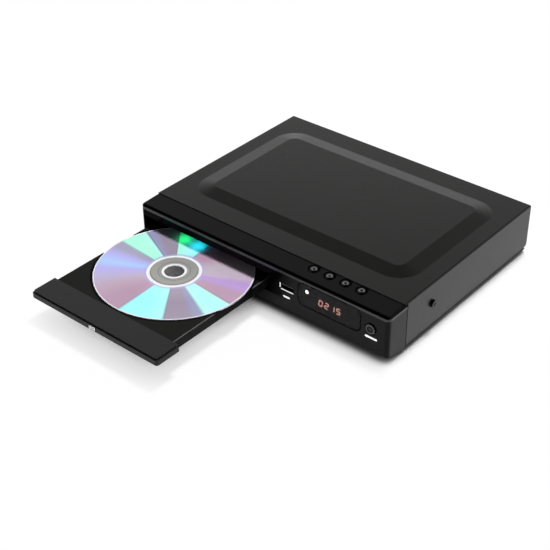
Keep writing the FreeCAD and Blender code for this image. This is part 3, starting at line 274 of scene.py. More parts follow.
def sleeveWrap(name, tone, stripe=(200, 200, 196), pitch=5.5, half=0.9):
    # a shrink sleeve with a light minus stripe down one side
    paint = Paint(name)
    x, y, z = paint.axes()
    band = paint.ease(paint.noise(3.5, 2.0), 0.42, 0.58)
    line = (paint.pingPong(y, pitch) < half) * 0.8
    colour = paint.mix(band * 0.2, tone, shaded(tone, 1.4))
    colour = paint.mix(line, colour, tint(*stripe))
    return paint.finish(colour, 0.3 + band * 0.08, Normal=paint.bump(band, 0.08, 0.03))


frontLook = {
    "sides": 118.2, "sideGloss": 0.16,  # the ends of the front begin this far out
    "edge": (-36.6, -36.2),  # ahead of this the top edge rounds over to the face
    # brow: painted shade along the top front edge
    "brow": (39.2, 39.5), "browShade": 0.3,
    # band: a painted highlight under the rounded top edge, in bandTone
    "band": (36.8, 37.4, 39.0, 39.2), "bandTone": tint(62, 62, 62), "bandGloss": 0.45, "glossRough": 0.34,
    "strip": (39.3, 39.6), "stripPaintedLight": 1.7,
    "recess": (14.0, 36.0), "recessHeight": (16.0, 36.5, 36.9), "recessShare": 0.8,
    "opening": ((39.5, 94.6), (18.2, 36.7)), "corner": 5.0, "outline": (0.6, 1.0), "face": -37.5,
}


def polishedFront(name, tone, rough=0.24, shine=0.11):
    # dull black, glossier in a band under the rounded top edge and on the ends; the band is also painted
    # lighter as a painted highlight, and the brow is painted deep black as painted shade
    look = frontLook
    paint = Paint(name)
    x, y, z = paint.axes()
    wide = paint.noise(26.0, 3.0)
    fine = paint.noise(0.35, 1.5)
    side = (x > look["sides"]) + (x < -look["sides"])
    ahead = 1 - paint.ease(y, *look["edge"])
    outside = ahead | side
    # painted shade: the brow is mixed to a dull black copy of the plastic
    brow = paint.ease(z, *look["brow"]) * outside
    band = paint.ease(z, *look["band"][:2]) * (1 - paint.ease(z, *look["band"][2:])) * outside
    # painted highlight: the band under the rounded top edge is painted lighter
    colour = paint.mix(band, paint.mix(wide, shaded(tone, 0.92), shaded(tone, 1.08)), look["bandTone"])
    # painted light: the top, along the keys, is painted a little lighter than the face
    strip = paint.ease(z, *look["strip"]) * (1 - outside)
    colour = paint.mix(strip, colour, shaded(tone, look["stripPaintedLight"]))
    # painted shade: dark between the slot and the window
    low, *high = look["recessHeight"]
    recess = (1 - paint.ease(x, *look["recess"])) * (z > low) * (1 - paint.ease(z, *high))
    recess = recess * ahead * look["recessShare"]
    # painted shade of the groove round the window: a dark line at the edge of the opening for the window, a
    # rounded box
    over = []
    for along, (low, high) in zip((x, z), look["opening"]):
        offset = abs(along - (low + high) / 2) - (high - low) / 2
        over.append((offset + look["corner"]) | 0.0)
    distance = (over[0] * over[0] + over[1] * over[1]) ** 0.5 - look["corner"]
    outline = (1 - paint.ease(distance, *look["outline"])) * (y < look["face"])
    body = paint.node("ShaderNodeBsdfPrincipled", {}, {
        "Base Color": colour, "Roughness": rough + (wide - 0.5) * 0.08 + (fine - 0.5) * 0.05,
        "Normal": paint.bump(fine, 0.03, 0.03), "Specular IOR Level": shine,
        "Coat Weight": band * look["bandGloss"] | side * look["sideGloss"],
        "Coat Roughness": look["glossRough"]})
    # painted shade: a dull black copy of the plastic, mixed in along the brow, round the window and between
    # the slot and the window
    shade = paint.node("ShaderNodeBsdfDiffuse", {}, {
        "Color": shaded(tone, look["browShade"]), "Normal": paint.bump(fine, 0.03, 0.03)})
    dark = brow | outline | recess
    return paint.output(paint.node("ShaderNodeMixShader", {}, {0: dark, 1: body, 2: shade}))


trayLook = {"rim": (6.9, 7.5), "rimTop": 23.9, "rimTone": tint(104, 104, 104), "gap": (50.0, 62.0),
            "gapShadeTone": tint(4, 4, 6)}


def trayPlastic(name, tone, rough=0.45, shine=0.05):
    # a painted highlight along the right rim, and painted shade in the dark gap round the disc
    look = trayLook
    paint = Paint(name)
    x, y, z = paint.axes()
    wide = paint.noise(26.0, 3.0)
    fine = paint.noise(0.25, 1.5)
    colour = paint.mix(wide, shaded(tone, 0.9), shaded(tone, 1.1))
    # painted highlight: a lighter, broken line along the top of the right rim
    rim = paint.ease(x, *look["rim"]) * (z > look["rimTop"])
    colour = paint.mix(rim * paint.ease(fine, 0.2, 0.6), colour, look["rimTone"])
    middle = [(low + high) / 2 for low, high in zip(*boxOf("disc"))]
    across = x - middle[0]
    along = y - middle[1]
    radius = (across * across + along * along) ** 0.5
    inner, outer = look["gap"]
    # painted shade: the gap round the disc is painted near black
    colour = paint.mix((radius < outer) * (radius > inner), colour, look["gapShadeTone"])
    return paint.finish(colour, rough + (wide - 0.5) * 0.1, Specular_IOR_Level=shine,
                        Normal=paint.bump(fine, 0.12, 0.05))


socketLook = {"shade": tint(30, 30, 31), "mouth": -37.9, "wall": 23.1, "wallHeight": (24.5, 28.9),
              "sill": (23.4, 34.9), "sillTop": 23.9, "glow": 0.6}


def litSocket(name, tone):
    # a plated shell: its left wall and floor are painted light and made to glow, a painted highlight, and the
    # rest is painted dark, a painted shade
    look = socketLook
    paint = Paint(name)
    x, y, z = paint.axes()
    fine = paint.noise(0.5, 2.0)
    low, high = look["wallHeight"]
    left, right = look["sill"]
    wall = (x < look["wall"]) * (z > low) * (z < high)
    sill = (z < look["sillTop"]) * (x > left) * (x < right)
    paintedLit = (wall + sill) * (y < look["mouth"])
    colour = paint.mix(paintedLit, look["shade"], tone)
    light = paint.mix(paintedLit, (0, 0, 0, 1), (1, 1, 1, 1))
    return paint.finish(colour, 0.2 + (fine - 0.5) * 0.1, Metallic=1 - paintedLit, Emission_Color=light,
                        Emission_Strength=look["glow"], Normal=paint.bump(fine, 0.04, 0.02))


def smokedPane(name, tone, see=0.5, shine=0.35):
    paint = Paint(name)
    wide = paint.noise(18.0, 3.0)
    fine = paint.noise(0.8, 2.0)
    colour = paint.mix(wide, shaded(tone, 0.85), shaded(tone, 1.15))
    roughness = 0.10 + (wide - 0.5) * 0.06 + (fine - 0.5) * 0.02
    return paint.finish(colour, roughness, Alpha=see, Normal=paint.bump(fine, 0.02, 0.02),
                        Specular_IOR_Level=shine)


def litLens(name, tone, glow, strength):
    paint = Paint(name)
    fine = paint.noise(0.5, 2.0)
    light = paint.mix(fine, shaded(glow, 0.85), glow)
    return paint.finish(tone, 0.3 + (fine - 0.5) * 0.1, Emission_Color=light, Emission_Strength=strength)


def litTip(name, tone, glow, depth, strength=0.9):
    # a rod that shines only ahead of the given depth
    paint = Paint(name)
    x, y, z = paint.axes()
    fine = paint.noise(0.5, 2.0)
    tip = y < depth
    light = paint.mix(tip, (0, 0, 0, 1), glow)
    colour = paint.mix(tip, tone, glow)
    return paint.finish(colour, 0.3 + (fine - 0.5) * 0.1, Emission_Color=light, Emission_Strength=strength)


def dress(name, material):
    for place in nodes[name].material_slots:
        place.material = material


# The case and what is fastened to it

coats = {
    "top_cover": (texturedPaint, tint(22, 22, 21), {"rough": 0.26, "grain": 0.18, "shine": 0.35}),
    "bottom_chassis": (texturedPaint, tint(38, 38, 38), {"rough": 0.5}),
    "rear_panel": (texturedPaint, tint(28, 28, 29), {"rough": 0.5, "grainSize": 0.8}),
    "front_bezel": (polishedFront, tint(11, 11, 12), {}),
    "feet": (rubber, tint(26, 26, 26), {}),
    "side_screws": (plating, tint(60, 60, 60), {"rough": 0.3}),
    "rear_screws": (plating, tint(58, 58, 60), {"rough": 0.3}),
    "inner_screws": (plating, tint(190, 190, 188), {"rough": 0.25}),
    "display_window": (smokedPane, tint(27, 27, 28), {"see": 0.7, "shine": 0.14}),
    "led_display": (mouldedPlastic, tint(30, 14, 14), {"rough": 0.3, "grain": 0.03}),
    "ir_receiver": (mouldedPlastic, tint(24, 12, 22), {"rough": 0.15, "grain": 0.02}),
    "usb_socket": (litSocket, tint(206, 206, 210), {}),
    "usb_tongue": (mouldedPlastic, tint(22, 22, 24), {"rough": 0.5}),
    "front_pcb": (circuitBoard, tint(30, 92, 50), {}),
    "key_pcb": (circuitBoard, tint(30, 92, 50), {"pitch": 1.8}),
    "tact_switches": (mouldedPlastic, tint(42, 42, 44), {"rough": 0.5}),
    "main_pcb": (circuitBoard, tint(24, 84, 46), {"pitch": 2.6}),
    "psu_pcb": (circuitBoard, tint(150, 108, 58), {"copper": 0.8, "pitch": 5.0}),
    "main_chips": (mouldedPlastic, tint(26, 26, 27), {"rough": 0.6, "grainSize": 0.2}),
    "psu_capacitors": (sleeveWrap, tint(24, 26, 52), {}),
    "power_inlet": (mouldedPlastic, tint(24, 24, 25), {"rough": 0.45}),
    "hdmi_socket": (plating, tint(200, 200, 202), {}),
    "rca_housing": (mouldedPlastic, tint(26, 26, 27), {"rough": 0.45}),
    "rca_sleeves": (plating, tint(214, 200, 160), {}),
    "rca_yellow": (mouldedPlastic, tint(226, 188, 30), {"rough": 0.35}),
    "rca_white": (mouldedPlastic, tint(232, 232, 228), {"rough": 0.35}),
    "rca_red": (mouldedPlastic, tint(186, 30, 32), {"rough": 0.35}),
    "loader_frame": (mouldedPlastic, tint(34, 34, 35), {"rough": 0.5}),
    "clamp_bridge": (brushedSteel, tint(188, 188, 186), {"stretch": (12, 1, 1)}),
    "clamper": (mouldedPlastic, tint(222, 222, 214), {"rough": 0.45}),
    "clamper_cap": (brushedSteel, tint(180, 180, 180), {}),
    "loading_motor": (brushedSteel, tint(186, 186, 184), {"stretch": (1, 1, 10)}),
    "motor_pulley": (brushedSteel, tint(206, 174, 96), {"stretch": (1, 1, 8)}),
    "drive_belt": (rubber, tint(20, 20, 20), {"rough": 0.6}),
    "pulley_gear": (mouldedPlastic, tint(226, 224, 212), {"rough": 0.4}),
    "tray_gear": (mouldedPlastic, tint(226, 224, 212), {"rough": 0.4}),
    "cam_slider": (mouldedPlastic, tint(224, 222, 210), {"rough": 0.4}),
    "lift_frame": (mouldedPlastic, tint(38, 38, 39), {"rough": 0.5}),
    "rubber_dampers": (rubber, tint(118, 44, 52), {}),
    "traverse_plate": (brushedSteel, tint(196, 196, 194), {"stretch": (1, 14, 1)}),
    "spindle_motor": (brushedSteel, tint(184, 184, 184), {}),
    "turntable": (mouldedPlastic, tint(36, 36, 37), {"rough": 0.4}),
    "pickup_sled": (mouldedPlastic, tint(44, 44, 46), {"rough": 0.4}),
    "guide_rods": (plating, tint(214, 214, 214), {"rough": 0.1}),
    "sled_motor": (brushedSteel, tint(184, 184, 184), {"stretch": (1, 1, 10)}),
    "lead_screw": (brushedSteel, tint(192, 192, 192), {"stretch": (1, 20, 1)}),
    "tray": (trayPlastic, tint(27, 27, 26), {}),
    "tray_door": (mouldedPlastic, tint(40, 40, 40), {"rough": 0.45, "grainSize": 0.25, "shine": 0.2}),
    "tray_indicator": (mouldedPlastic, tint(240, 240, 240), {"rough": 0.3}),
    "front_ribbon": (mouldedPlastic, tint(226, 226, 220), {"rough": 0.4}),
    "transformer": (mouldedPlastic, tint(196, 158, 40), {"rough": 0.4, "drift": 0.25}),
    "pickup_lens": (smokedPane, tint(96, 120, 170), {"see": 0.8}),
}
for name, (finish, tone, look) in coats.items():
    dress(name, finish(name + "_finish", tone, **look))
dress("status_led", litTip("status_led_finish", tint(14, 14, 15), tint(255, 255, 255), -38.4))
print("finishes on the frame:", len(coats) + 1)


# Small edges that catch the light

edgeAngle = 35
edges = {
    "top_cover": 0.25, "front_bezel": 0.22, "tray": 0.18, "tray_door": 0.22, "bottom_chassis": 0.15,
    "rear_panel": 0.15, "feet": 0.4, "usb_socket": 0.08, "hdmi_socket": 0.08, "power_inlet": 0.3,
    "rca_housing": 0.25, "rca_sleeves": 0.2, "side_screws": 0.15, "rear_screws": 0.15, "tray_indicator": 0.1,
    "display_window": 0.12, "loader_frame": 0.15, "clamp_bridge": 0.15, "turntable": 0.15,
    "pickup_sled": 0.15,
}
for name, width in edges.items():
    bevel = nodes[name].modifiers.new("edge", "BEVEL")
    bevel.width = width * mm
    bevel.segments = 2
    bevel.limit_method = "ANGLE"
    bevel.angle_limit = math.radians(edgeAngle)
    bevel.use_clamp_overlap = True
    weight = nodes[name].modifiers.new("shade", "WEIGHTED_NORMAL")
    weight.keep_sharp = True


# Mesh helpers: a finished object, turned solids and flat prisms

def addMesh(name, bm, material, body):
    bmesh.ops.recalc_face_normals(bm, faces=bm.faces)
    mesh = bpy.data.meshes.new(name)
    bm.to_mesh(mesh)
    bm.free()
    made = bpy.data.objects.new(name, mesh)
    bpy.context.scene.collection.objects.link(made)
    made.data.materials.append(material)
    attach(made, body)
    return made


def turned(bm, axis, centre, profile, count):
    # profile points are (radius, distance along the axis) round a closed outline, all in millimetres
    rings = []
    for radius, along in profile:
        ring = []
        for step in range(count):
            angle = 2 * math.pi * step / count
            u = radius * math.cos(angle)
            v = radius * math.sin(angle)
            offset = (u, v, along) if axis == "Z" else (u, along, v)
            ring.append(bm.verts.new([(centre[part] + offset[part]) * mm for part in range(3)]))
        rings.append(ring)
    for index, ring in enumerate(rings):
        after = rings[(index + 1) % len(rings)]
        for step in range(count):
            onward = (step + 1) % count
            face = bm.faces.new((ring[step], ring[onward], after[onward], after[step]))
            face.smooth = True


def prism(bm, outline, low, high):
    # outline points are (x, z) and low and high are y, in millimetres
    layers = []
    for level in (low, high):
        layer = []
        for u, v in outline:
            layer.append(bm.verts.new([part * mm for part in (u, level, v)]))
        layers.append(layer)
    count = len(outline)
    for step in range(count):
        onward = (step + 1) % count
        bm.faces.new((layers[0][step], layers[0][onward], layers[1][onward], layers[1][step]))
    bm.faces.new(layers[0])
    bm.faces.new(layers[1])


def roundedBar(low, high, radius, steps=5):
    spots = []
    corners = ((high[0] - radius, high[1] - radius), (low[0] + radius, high[1] - radius),
               (low[0] + radius, low[1] + radius), (high[0] - radius, low[1] + radius))
    for quarter, (u, v) in enumerate(corners):
        for step in range(steps + 1):
            angle = math.pi / 2 * (quarter + step / steps)
            spots.append((u + radius * math.cos(angle), v + radius * math.sin(angle)))
    return spots


# Disc: a turned piece with its hub, rings and rim, and coloured streaks round its middle, which are painted
# reflection: the colours of light split by the tracks

discLook = {
    "hole": 7.5, "hubWhite": 9.4, "hub": 18.2, "ringWhite": 20.6, "band": 22.6, "data": 59.1, "edge": 60.0,
    "soft": 0.12, "groove": (10.6, 11.25), "stackRing": (16.6, 17.7), "relief": 0.14, "flat": 40.0,
    "hubTone": tint(146, 145, 142), "white": tint(240, 240, 244), "bandTone": tint(176, 176, 226),
    "rimTone": tint(236, 232, 242), "lineTone": tint(70, 70, 72), "hubLines": ((11.6, 12.1), (17.3, 17.7)),
    "tints": {
        "pink": (186, 150, 176), "purple": (188, 154, 216), "pearl": (198, 178, 200),
        "silver": (192, 180, 192), "mauve": (156, 142, 164), "dusk": (152, 154, 192),
        "ice": (186, 255, 242), "mint": (176, 255, 228), "haze": (164, 162, 188),
        "lavender": (182, 176, 240), "sky": (172, 206, 252), "lilac": (186, 176, 212),
        "rose": (180, 146, 170), "clay": (188, 162, 182), "cyan": (160, 250, 252),
        "bright": (178, 255, 255), "seam": (118, 128, 150)},
    "streaks": [  # degrees round the disc, each with its tint
        (0, "pink"), (8, "pink"), (15, "purple"), (22, "purple"), (28, "pearl"), (50, "silver"), (72, "pink"),
        (93.5, "pink"), (94.3, "seam"), (95, "cyan"), (112, "bright"), (128, "mint"), (128.9, "seam"),
        (130, "mauve"), (144, "mauve"), (152, "dusk"), (154, "dusk"), (154.8, "seam"), (155.6, "ice"),
        (165, "mint"), (175.5, "mint"), (176.3, "seam"), (177.2, "haze"), (184, "haze"), (192, "lavender"),
        (205, "sky"), (214, "lavender"), (226, "lilac"), (240, "clay"), (256, "rose"), (271, "rose"),
        (272, "seam"), (273, "cyan"), (290, "cyan"), (305, "bright"), (305.9, "seam"), (307, "mauve"),
        (324, "mauve"), (330, "dusk"), (333.5, "dusk"), (334.2, "seam"), (335, "ice"), (345, "bright"),
        (354.5, "ice"), (355.3, "seam"), (356.5, "pink")],
    "rough": 0.26, "coat": 0.5, "steps": 180,
}


def discFinish(centre):
    look = discLook
    paint = Paint("disc_finish")
    x, y, z = paint.axes()
    across = x - centre[0]
    along = y - centre[1]
    radius = (across * across + along * along) ** 0.5
    angle = paint.node("ShaderNodeMath", {"operation": "ARCTAN2"}, {0: along, 1: across})
    turn = angle / (2 * math.pi) + 0.5
    # the streaks are painted reflection: colours of light split by the tracks, fixed round the disc
    half = len(look["streaks"]) // 2
    shades = []
    for degrees, name in look["streaks"]:
        shades.append((((degrees + 180) % 360) / 360, tint(*look["tints"][name])))
    shades.sort(key=lambda stop: stop[0])
    # a ramp holds 32 stops, so the turn is shared between two
    first = paint.node("ShaderNodeValToRGB", {"stops": shades[:half + 1]}, {0: turn})
    second = paint.node("ShaderNodeValToRGB", {"stops": shades[half:]}, {0: turn})
    streaks = paint.mix(turn > shades[half][0], first, second)
    tracks = paint.node("ShaderNodeMath", {"operation": "SINE"}, {0: radius * 9.0})
    wear = paint.noise(16.0, 2.0)
    data = paint.mix(tracks * 0.03 + 0.03, streaks, look["white"])
    data = paint.mix((radius < look["band"]) * 0.6, data, look["bandTone"])
    hubRings = paint.node("ShaderNodeMath", {"operation": "SINE"}, {0: radius * 4.2})
    hub = paint.mix(hubRings * 0.3 + 0.4, look["hubTone"], shaded(look["hubTone"], 1.5))
    lines = [(radius > inner) * (radius < outer) for inner, outer in look["hubLines"]]
    hub = paint.mix((lines[0] + lines[1]) * 0.6, hub, look["lineTone"])
    colour = paint.mix(radius > look["hubWhite"], look["white"], hub)
    colour = paint.mix(radius > look["hub"], colour, look["white"])
    colour = paint.mix(radius > look["ringWhite"], colour, data)
    colour = paint.mix(radius > look["data"], colour, look["rimTone"])
    inData = (radius > look["ringWhite"]) * (radius < look["data"])
    roughness = look["rough"] + (1 - inData) * 0.3 + tracks * 0.02 + (wear - 0.5) * 0.08
    return paint.finish(colour, roughness, Coat_Weight=inData * look["coat"], Coat_Roughness=0.06,
                        Specular_IOR_Level=0.3, Normal=paint.bump(tracks, 0.02, 0.02))


def makeDisc():
    look = discLook
    low, high = boxOf("disc")
    centre = [(low[part] + high[part]) / 2 for part in range(2)]
    base, top = low[2], high[2]
    soft = look["soft"]
    relief = look["relief"]
    grooveIn, grooveOut = look["groove"]
    ringIn, ringOut = look["stackRing"]
    # up the hole, outwards over the top, down the edge and back inwards underneath
    profile = [
        (look["hole"], base + soft), (look["hole"], top - soft), (look["hole"] + soft, top),
        (grooveIn, top), (grooveIn + 0.15, top - relief), (grooveOut - 0.15, top - relief), (grooveOut, top),
        (ringIn, top), (ringIn + 0.2, top + relief), (ringOut - 0.2, top + relief), (ringOut, top),
        (look["hub"], top), (look["hub"] + 0.1, top - 0.06), (look["ringWhite"], top - 0.06),
        (look["ringWhite"] + 0.1, top - 0.02), (look["flat"], top - 0.02), (look["data"], top - 0.02),
        (look["data"] + 0.15, top), (look["edge"] - soft, top), (look["edge"], top - soft),
        (look["edge"], base + soft), (look["edge"] - soft, base), (look["flat"], base), (ringOut - 0.1, base),
        (ringOut - 0.3, base - relief), (ringIn + 0.3, base - relief), (ringIn + 0.1, base),
        (look["hole"] + soft, base)]
    bm = bmesh.new()
    turned(bm, "Z", (centre[0], centre[1], 0), profile, look["steps"])
    made = addMesh("disc_pressed", bm, discFinish(centre), "disc")
    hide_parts("disc")


makeDisc()
print("disc made")


# Keys: turned caps in place of the plain ones. The top keys slope in to a small dished top with a ring
# painted light as a painted highlight and a dimple painted dark as painted shade, and the power key has a
# round groove between its lip and its middle

keyLook = {"flange": 1.3, "proud": 0.7, "tall": 0.5, "sunk": 1.3, "rim": 2.45, "dish": 0.5, "dimple": 1.0,
           "shelf": 3.9, "notch": 0.4, "notchFrom": 0.9, "notchSide": (0.763, 0.647),
           # ring: painted highlight on the dished top; pit: painted shade in the dimple
           "tone": tint(6, 6, 6), "ring": tint(88, 88, 90), "dimpleShade": tint(3, 3, 3)}
powerLook = {"flange": 1.3, "shelf": 3.1, "lip": 0.3, "ringIn": 2.75, "ringOut": 3.8, "tone": tint(6, 6, 6),
             "ring": tint(92, 92, 94), "middle": 0.8, "centre": tint(66, 66, 68)}


def ringedFinish(name, centre, axis, bands, notch=0):
    # bands are (radius, colour) from the middle outwards, in millimetres
    paint = Paint(name)
    x, y, z = paint.axes()
    across = x - centre[0]
    along = (y - centre[1]) if axis == "Z" else (z - centre[2])
    radius = (across * across + along * along) ** 0.5
    colour = bands[0][1]
    for edge, tone in bands[1:]:
        colour = paint.mix(paint.ease(radius, edge - 0.08, edge + 0.08), colour, tone)
    if notch:
        # a dark gap painted across the highlight ring, on the side that faces the user, where the dish's
        # painted highlight breaks
        aside, toward = keyLook["notchSide"]
        beside = across * aside + along * toward
        ahead = across * toward - along * aside
        gapInHighlight = (beside * beside < notch * notch) * (ahead > keyLook["notchFrom"])
        colour = paint.mix(gapInHighlight, colour, bands[0][1])
    fine = paint.noise(0.3, 2.0)
    return paint.finish(colour, 0.3 + (fine - 0.5) * 0.08, Normal=paint.bump(fine, 0.04, 0.02),
                        Specular_IOR_Level=0.15)


stemLook = {"radius": 1.6, "flangeThick": 0.8, "middle": 0.01, "steps": 64}


def stemProfile(radius, flange, tip, shelf):
    # from the stem's end at tip, over the flange, to the foot of the cap
    look = stemLook
    stem = look["radius"]
    under = shelf - look["flangeThick"]
    return [(look["middle"], tip), (stem, tip), (stem, under), (radius + flange, under),
            (radius + flange, shelf), (radius, shelf)]


def makeKey(name):
    look = keyLook
    low, high = boxOf(name)
    centre = ((low[0] + high[0]) / 2, (low[1] + high[1]) / 2, 0)
    radius = (high[0] - low[0]) / 2 - look["flange"]
    shelf = high[2] - look["shelf"]
    foot = high[2] - look["proud"]
    crest = foot + look["tall"]
    rim = look["rim"]
    crown = [(radius, foot - look["sunk"]), (radius - 0.2, foot - look["sunk"] + 0.2),
             (rim + 0.35, crest - 0.35), (rim + 0.15, crest - 0.1), (rim, crest)]
    for step in range(1, 6):
        reach = rim + (look["dimple"] - rim) * step / 5
        crown.append((reach, crest - look["dish"] * (1 - (reach / rim) ** 2)))
    bottom = crown[-1][1]
    crown += [(look["dimple"] - 0.1, bottom - 0.25), (stemLook["middle"], bottom - 0.25)]
    profile = stemProfile(radius, look["flange"], low[2], shelf) + crown
    bm = bmesh.new()
    turned(bm, "Z", centre, profile, stemLook["steps"])
    bands = [(0, look["dimpleShade"]), (look["dimple"], look["ring"]), (rim, look["tone"])]
    finish = ringedFinish(name + "_finish", centre, "Z", bands, look["notch"])
    made = addMesh(name + "_cap", bm, finish, name)
    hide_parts(name)


def makePowerKey():
    look = powerLook
    low, high = boxOf("power_button")
    centre = ((low[0] + high[0]) / 2, 0, (low[2] + high[2]) / 2)
    radius = (high[0] - low[0]) / 2 - look["flange"]
    shelf = -low[1] - look["shelf"]
    top = -low[1]
    rising = stemProfile(radius, look["flange"], -high[1], shelf)
    rising += [(radius, top - look["lip"]), (radius - 0.1, top - 0.1), (radius - look["lip"], top),
               (look["ringIn"], top), (look["ringIn"] - 0.3, top - 0.4), (look["middle"] + 0.3, top - 0.4),
               (look["middle"], top - 0.1), (stemLook["middle"], top - 0.1)]
    bm = bmesh.new()
    turned(bm, "Y", centre, [(reach, -along) for reach, along in rising], stemLook["steps"])
    bands = [(0, look["centre"]), (look["middle"], look["tone"]), (look["ringIn"], look["ring"]),
             (look["ringOut"], look["tone"])]
    finish = ringedFinish("power_button_finish", centre, "Y", bands)
    made = addMesh("power_button_cap", bm, finish, "power_button")
    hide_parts("power_button")


for number in range(1, 5):
    makeKey("top_button_%d" % number)
makePowerKey()
print("keys made")


# Marks: plain light printed bars under the socket and the power key, which also glow a little as painted
# light

markLook = {"high": 0.06, "tone": tint(250, 250, 250), "glow": 0.6, "round": 0.6,
            "bars": {"socket_bar": ((25.5, 17.4), (31.8, 18.9)), "power_bar": ((99.1, 17.2), (109.3, 18.9))}}


def makeBars():
    finish = litLens("printed_bar_finish", markLook["tone"], markLook["tone"], markLook["glow"])
    face = boxOf("front_bezel")[0][1]
    for name, (low, high) in markLook["bars"].items():
        bm = bmesh.new()
        prism(bm, roundedBar(low, high, markLook["round"]), face - markLook["high"], face)
        made = addMesh(name, bm, finish, "case")


makeBars()
print("marks made")


# Display: four figures made of lit bars, with a red glow round them, behind the smoked window

figureLook = {"text": "0215", "left": 56.4, "right": 77.4, "low": 22.5, "high": 27.1, "slant": 0.1,
              "wide": 0.56,  # of the room that a figure has
              # name, width of a bar, how far it stands out, colour and strength
              "layers": [("figures_glow", 2.6, 0.06, (255, 40, 34), 1.9),
                         ("figures_lit", 0.5, 0.12, (255, 222, 206), 7.5)],
              "dim": tint(30, 12, 12)}


def barOutline(start, end, wide):
    along = (Vector(end) - Vector(start)).normalized()
    side = Vector((-along.y, along.x)) * wide / 2
    first = Vector(start)
    last = Vector(end)
    inset = along * wide / 2
    return [first, first + inset + side, last - inset + side, last, last - inset - side, first + inset - side]


def makeFigures():
    look = figureLook
    front = boxOf("led_display")[0][1]
    lit = {"0": "abcdef", "1": "bc", "2": "abdeg", "5": "acdfg"}
    ends = {"a": ((0, 1), (1, 1)), "b": ((1, 1), (1, 0.5)), "c": ((1, 0.5), (1, 0)), "d": ((0, 0), (1, 0)),
            "e": ((0, 0.5), (0, 0)), "f": ((0, 1), (0, 0.5)), "g": ((0, 0.5), (1, 0.5))}
    pitch = (look["right"] - look["left"]) / len(look["text"])
    wide = pitch * look["wide"]
    tall = look["high"] - look["low"]
    for name, bar, proud, colour, strength in look["layers"]:
        finish = litLens(name + "_finish", look["dim"], tint(*colour), strength)
        bm = bmesh.new()
        for place, figure in enumerate(look["text"]):
            for key in lit[figure]:
                spots = []
                for u, v in ends[key]:
                    spots.append((look["left"] + place * pitch + u * wide + v * tall * look["slant"],
                                  look["low"] + v * tall))
                outline = barOutline(spots[0], spots[1], bar)
                prism(bm, [tuple(spot) for spot in outline], front - proud, front)
        made = addMesh(name, bm, finish, "case")


makeFigures()
print("display made")


# Floor, light and camera

studio = {
    "floorTone": tint(250, 250, 250), "floorShadowTone": (0.1, 0.1, 0.1, 1), "floorGlow": 0.96, "floorSize": 14.0,
    "shadowSamples": 12, "contactReach": 12.0, "contact": (0.3, 0.9), "underReach": 60.0, "deep": (0.1, 0.24),
    "under": [(0.12, 0.0), (0.24, 0.66), (0.55, 0.8), (0.9, 1.0)],
    "skyStrength": 2.3, "skyTurn": (-0.64, 0.77), "skySide": 0.48,
    "sky": [(0.0, 1.0), (0.1, 0.6), (0.2, 0.36), (0.36, 0.32), (0.57, 0.16), (0.7, 0.035), (1.0, 0.025)],
    "lamps": {
        "key_lamp": {"place": (0.0, 0.606, 2.115), "size": 0.4, "power": 34.0, "skips": "glossy"},
        "wide_lamp": {"place": (0.0, 0.62, 2.4), "size": 0.7, "power": 19.0, "skips": "glossy"},
        "edge_lamp": {"place": (-1.06, -1.65, 0.5), "size": 1.2, "power": 9.0, "skips": "diffuse"},
        # the coloured light that the disc throws into the mouth of the slot
        "slot_green": {"place": (-0.0752, -0.0362, 0.0285), "aim": (-0.0752, -0.0362, 0.0), "size": 0.011,
                       "power": 0.0005, "colour": (0.03, 1, 0.3), "lights": "disc_pressed"},
        "slot_cyan": {"place": (-0.0604, -0.0366, 0.0285), "aim": (-0.0604, -0.0366, 0.0), "size": 0.011,
                      "power": 0.0005, "colour": (0.03, 0.8, 1), "lights": "disc_pressed"},
    },
}


def makeFloor():
    # the camera, gloss and glass see a floor that glows a little, but not where something stands close above,
    # which paints the shadow there
    paint = Paint("floor_finish")
    outputs = paint.node("ShaderNodeLightPath").socket.node.outputs
    seen = Wire(paint, outputs["Is Camera Ray"]) + Wire(paint, outputs["Is Glossy Ray"]) \
        + Wire(paint, outputs["Is Transmission Ray"])
    gaps = []
    for reach in (studio["underReach"], studio["contactReach"]):
        gaps.append(paint.node("ShaderNodeAmbientOcclusion", {"samples": studio["shadowSamples"]},
                               {"Distance": reach * mm}, output=1))
    gap, near = gaps
    stops = [(spot, (grey, grey, grey, 1)) for spot, grey in studio["under"]]
    openness = paint.node("ShaderNodeValToRGB", {"stops": stops}, {0: gap})
    share = seen * openness * paint.ease(near, *studio["contact"]) * studio["floorGlow"]
    glow = paint.node("ShaderNodeEmission", {}, {"Color": (1, 1, 1, 1), "Strength": 1.0})
    # painted shadow: the floor's own colour is painted dark where something stands close above
    tone = paint.mix(paint.ease(gap, *studio["deep"]), studio["floorShadowTone"], studio["floorTone"])
    flat = paint.node("ShaderNodeBsdfDiffuse", {}, {"Color": tone})
    paint.output(paint.node("ShaderNodeMixShader", {}, {0: share, 1: flat, 2: glow}))
    half = studio["floorSize"] / 2
    corners = [(-half, -half, 0), (half, -half, 0), (half, half, 0), (-half, half, 0)]
    mesh = bpy.data.meshes.new("floor")
    mesh.from_pydata(corners, [], [(0, 1, 2, 3)])
    floor = bpy.data.objects.new("floor", mesh)
    bpy.context.scene.collection.objects.link(floor)
    floor.data.materials.append(paint.owner)


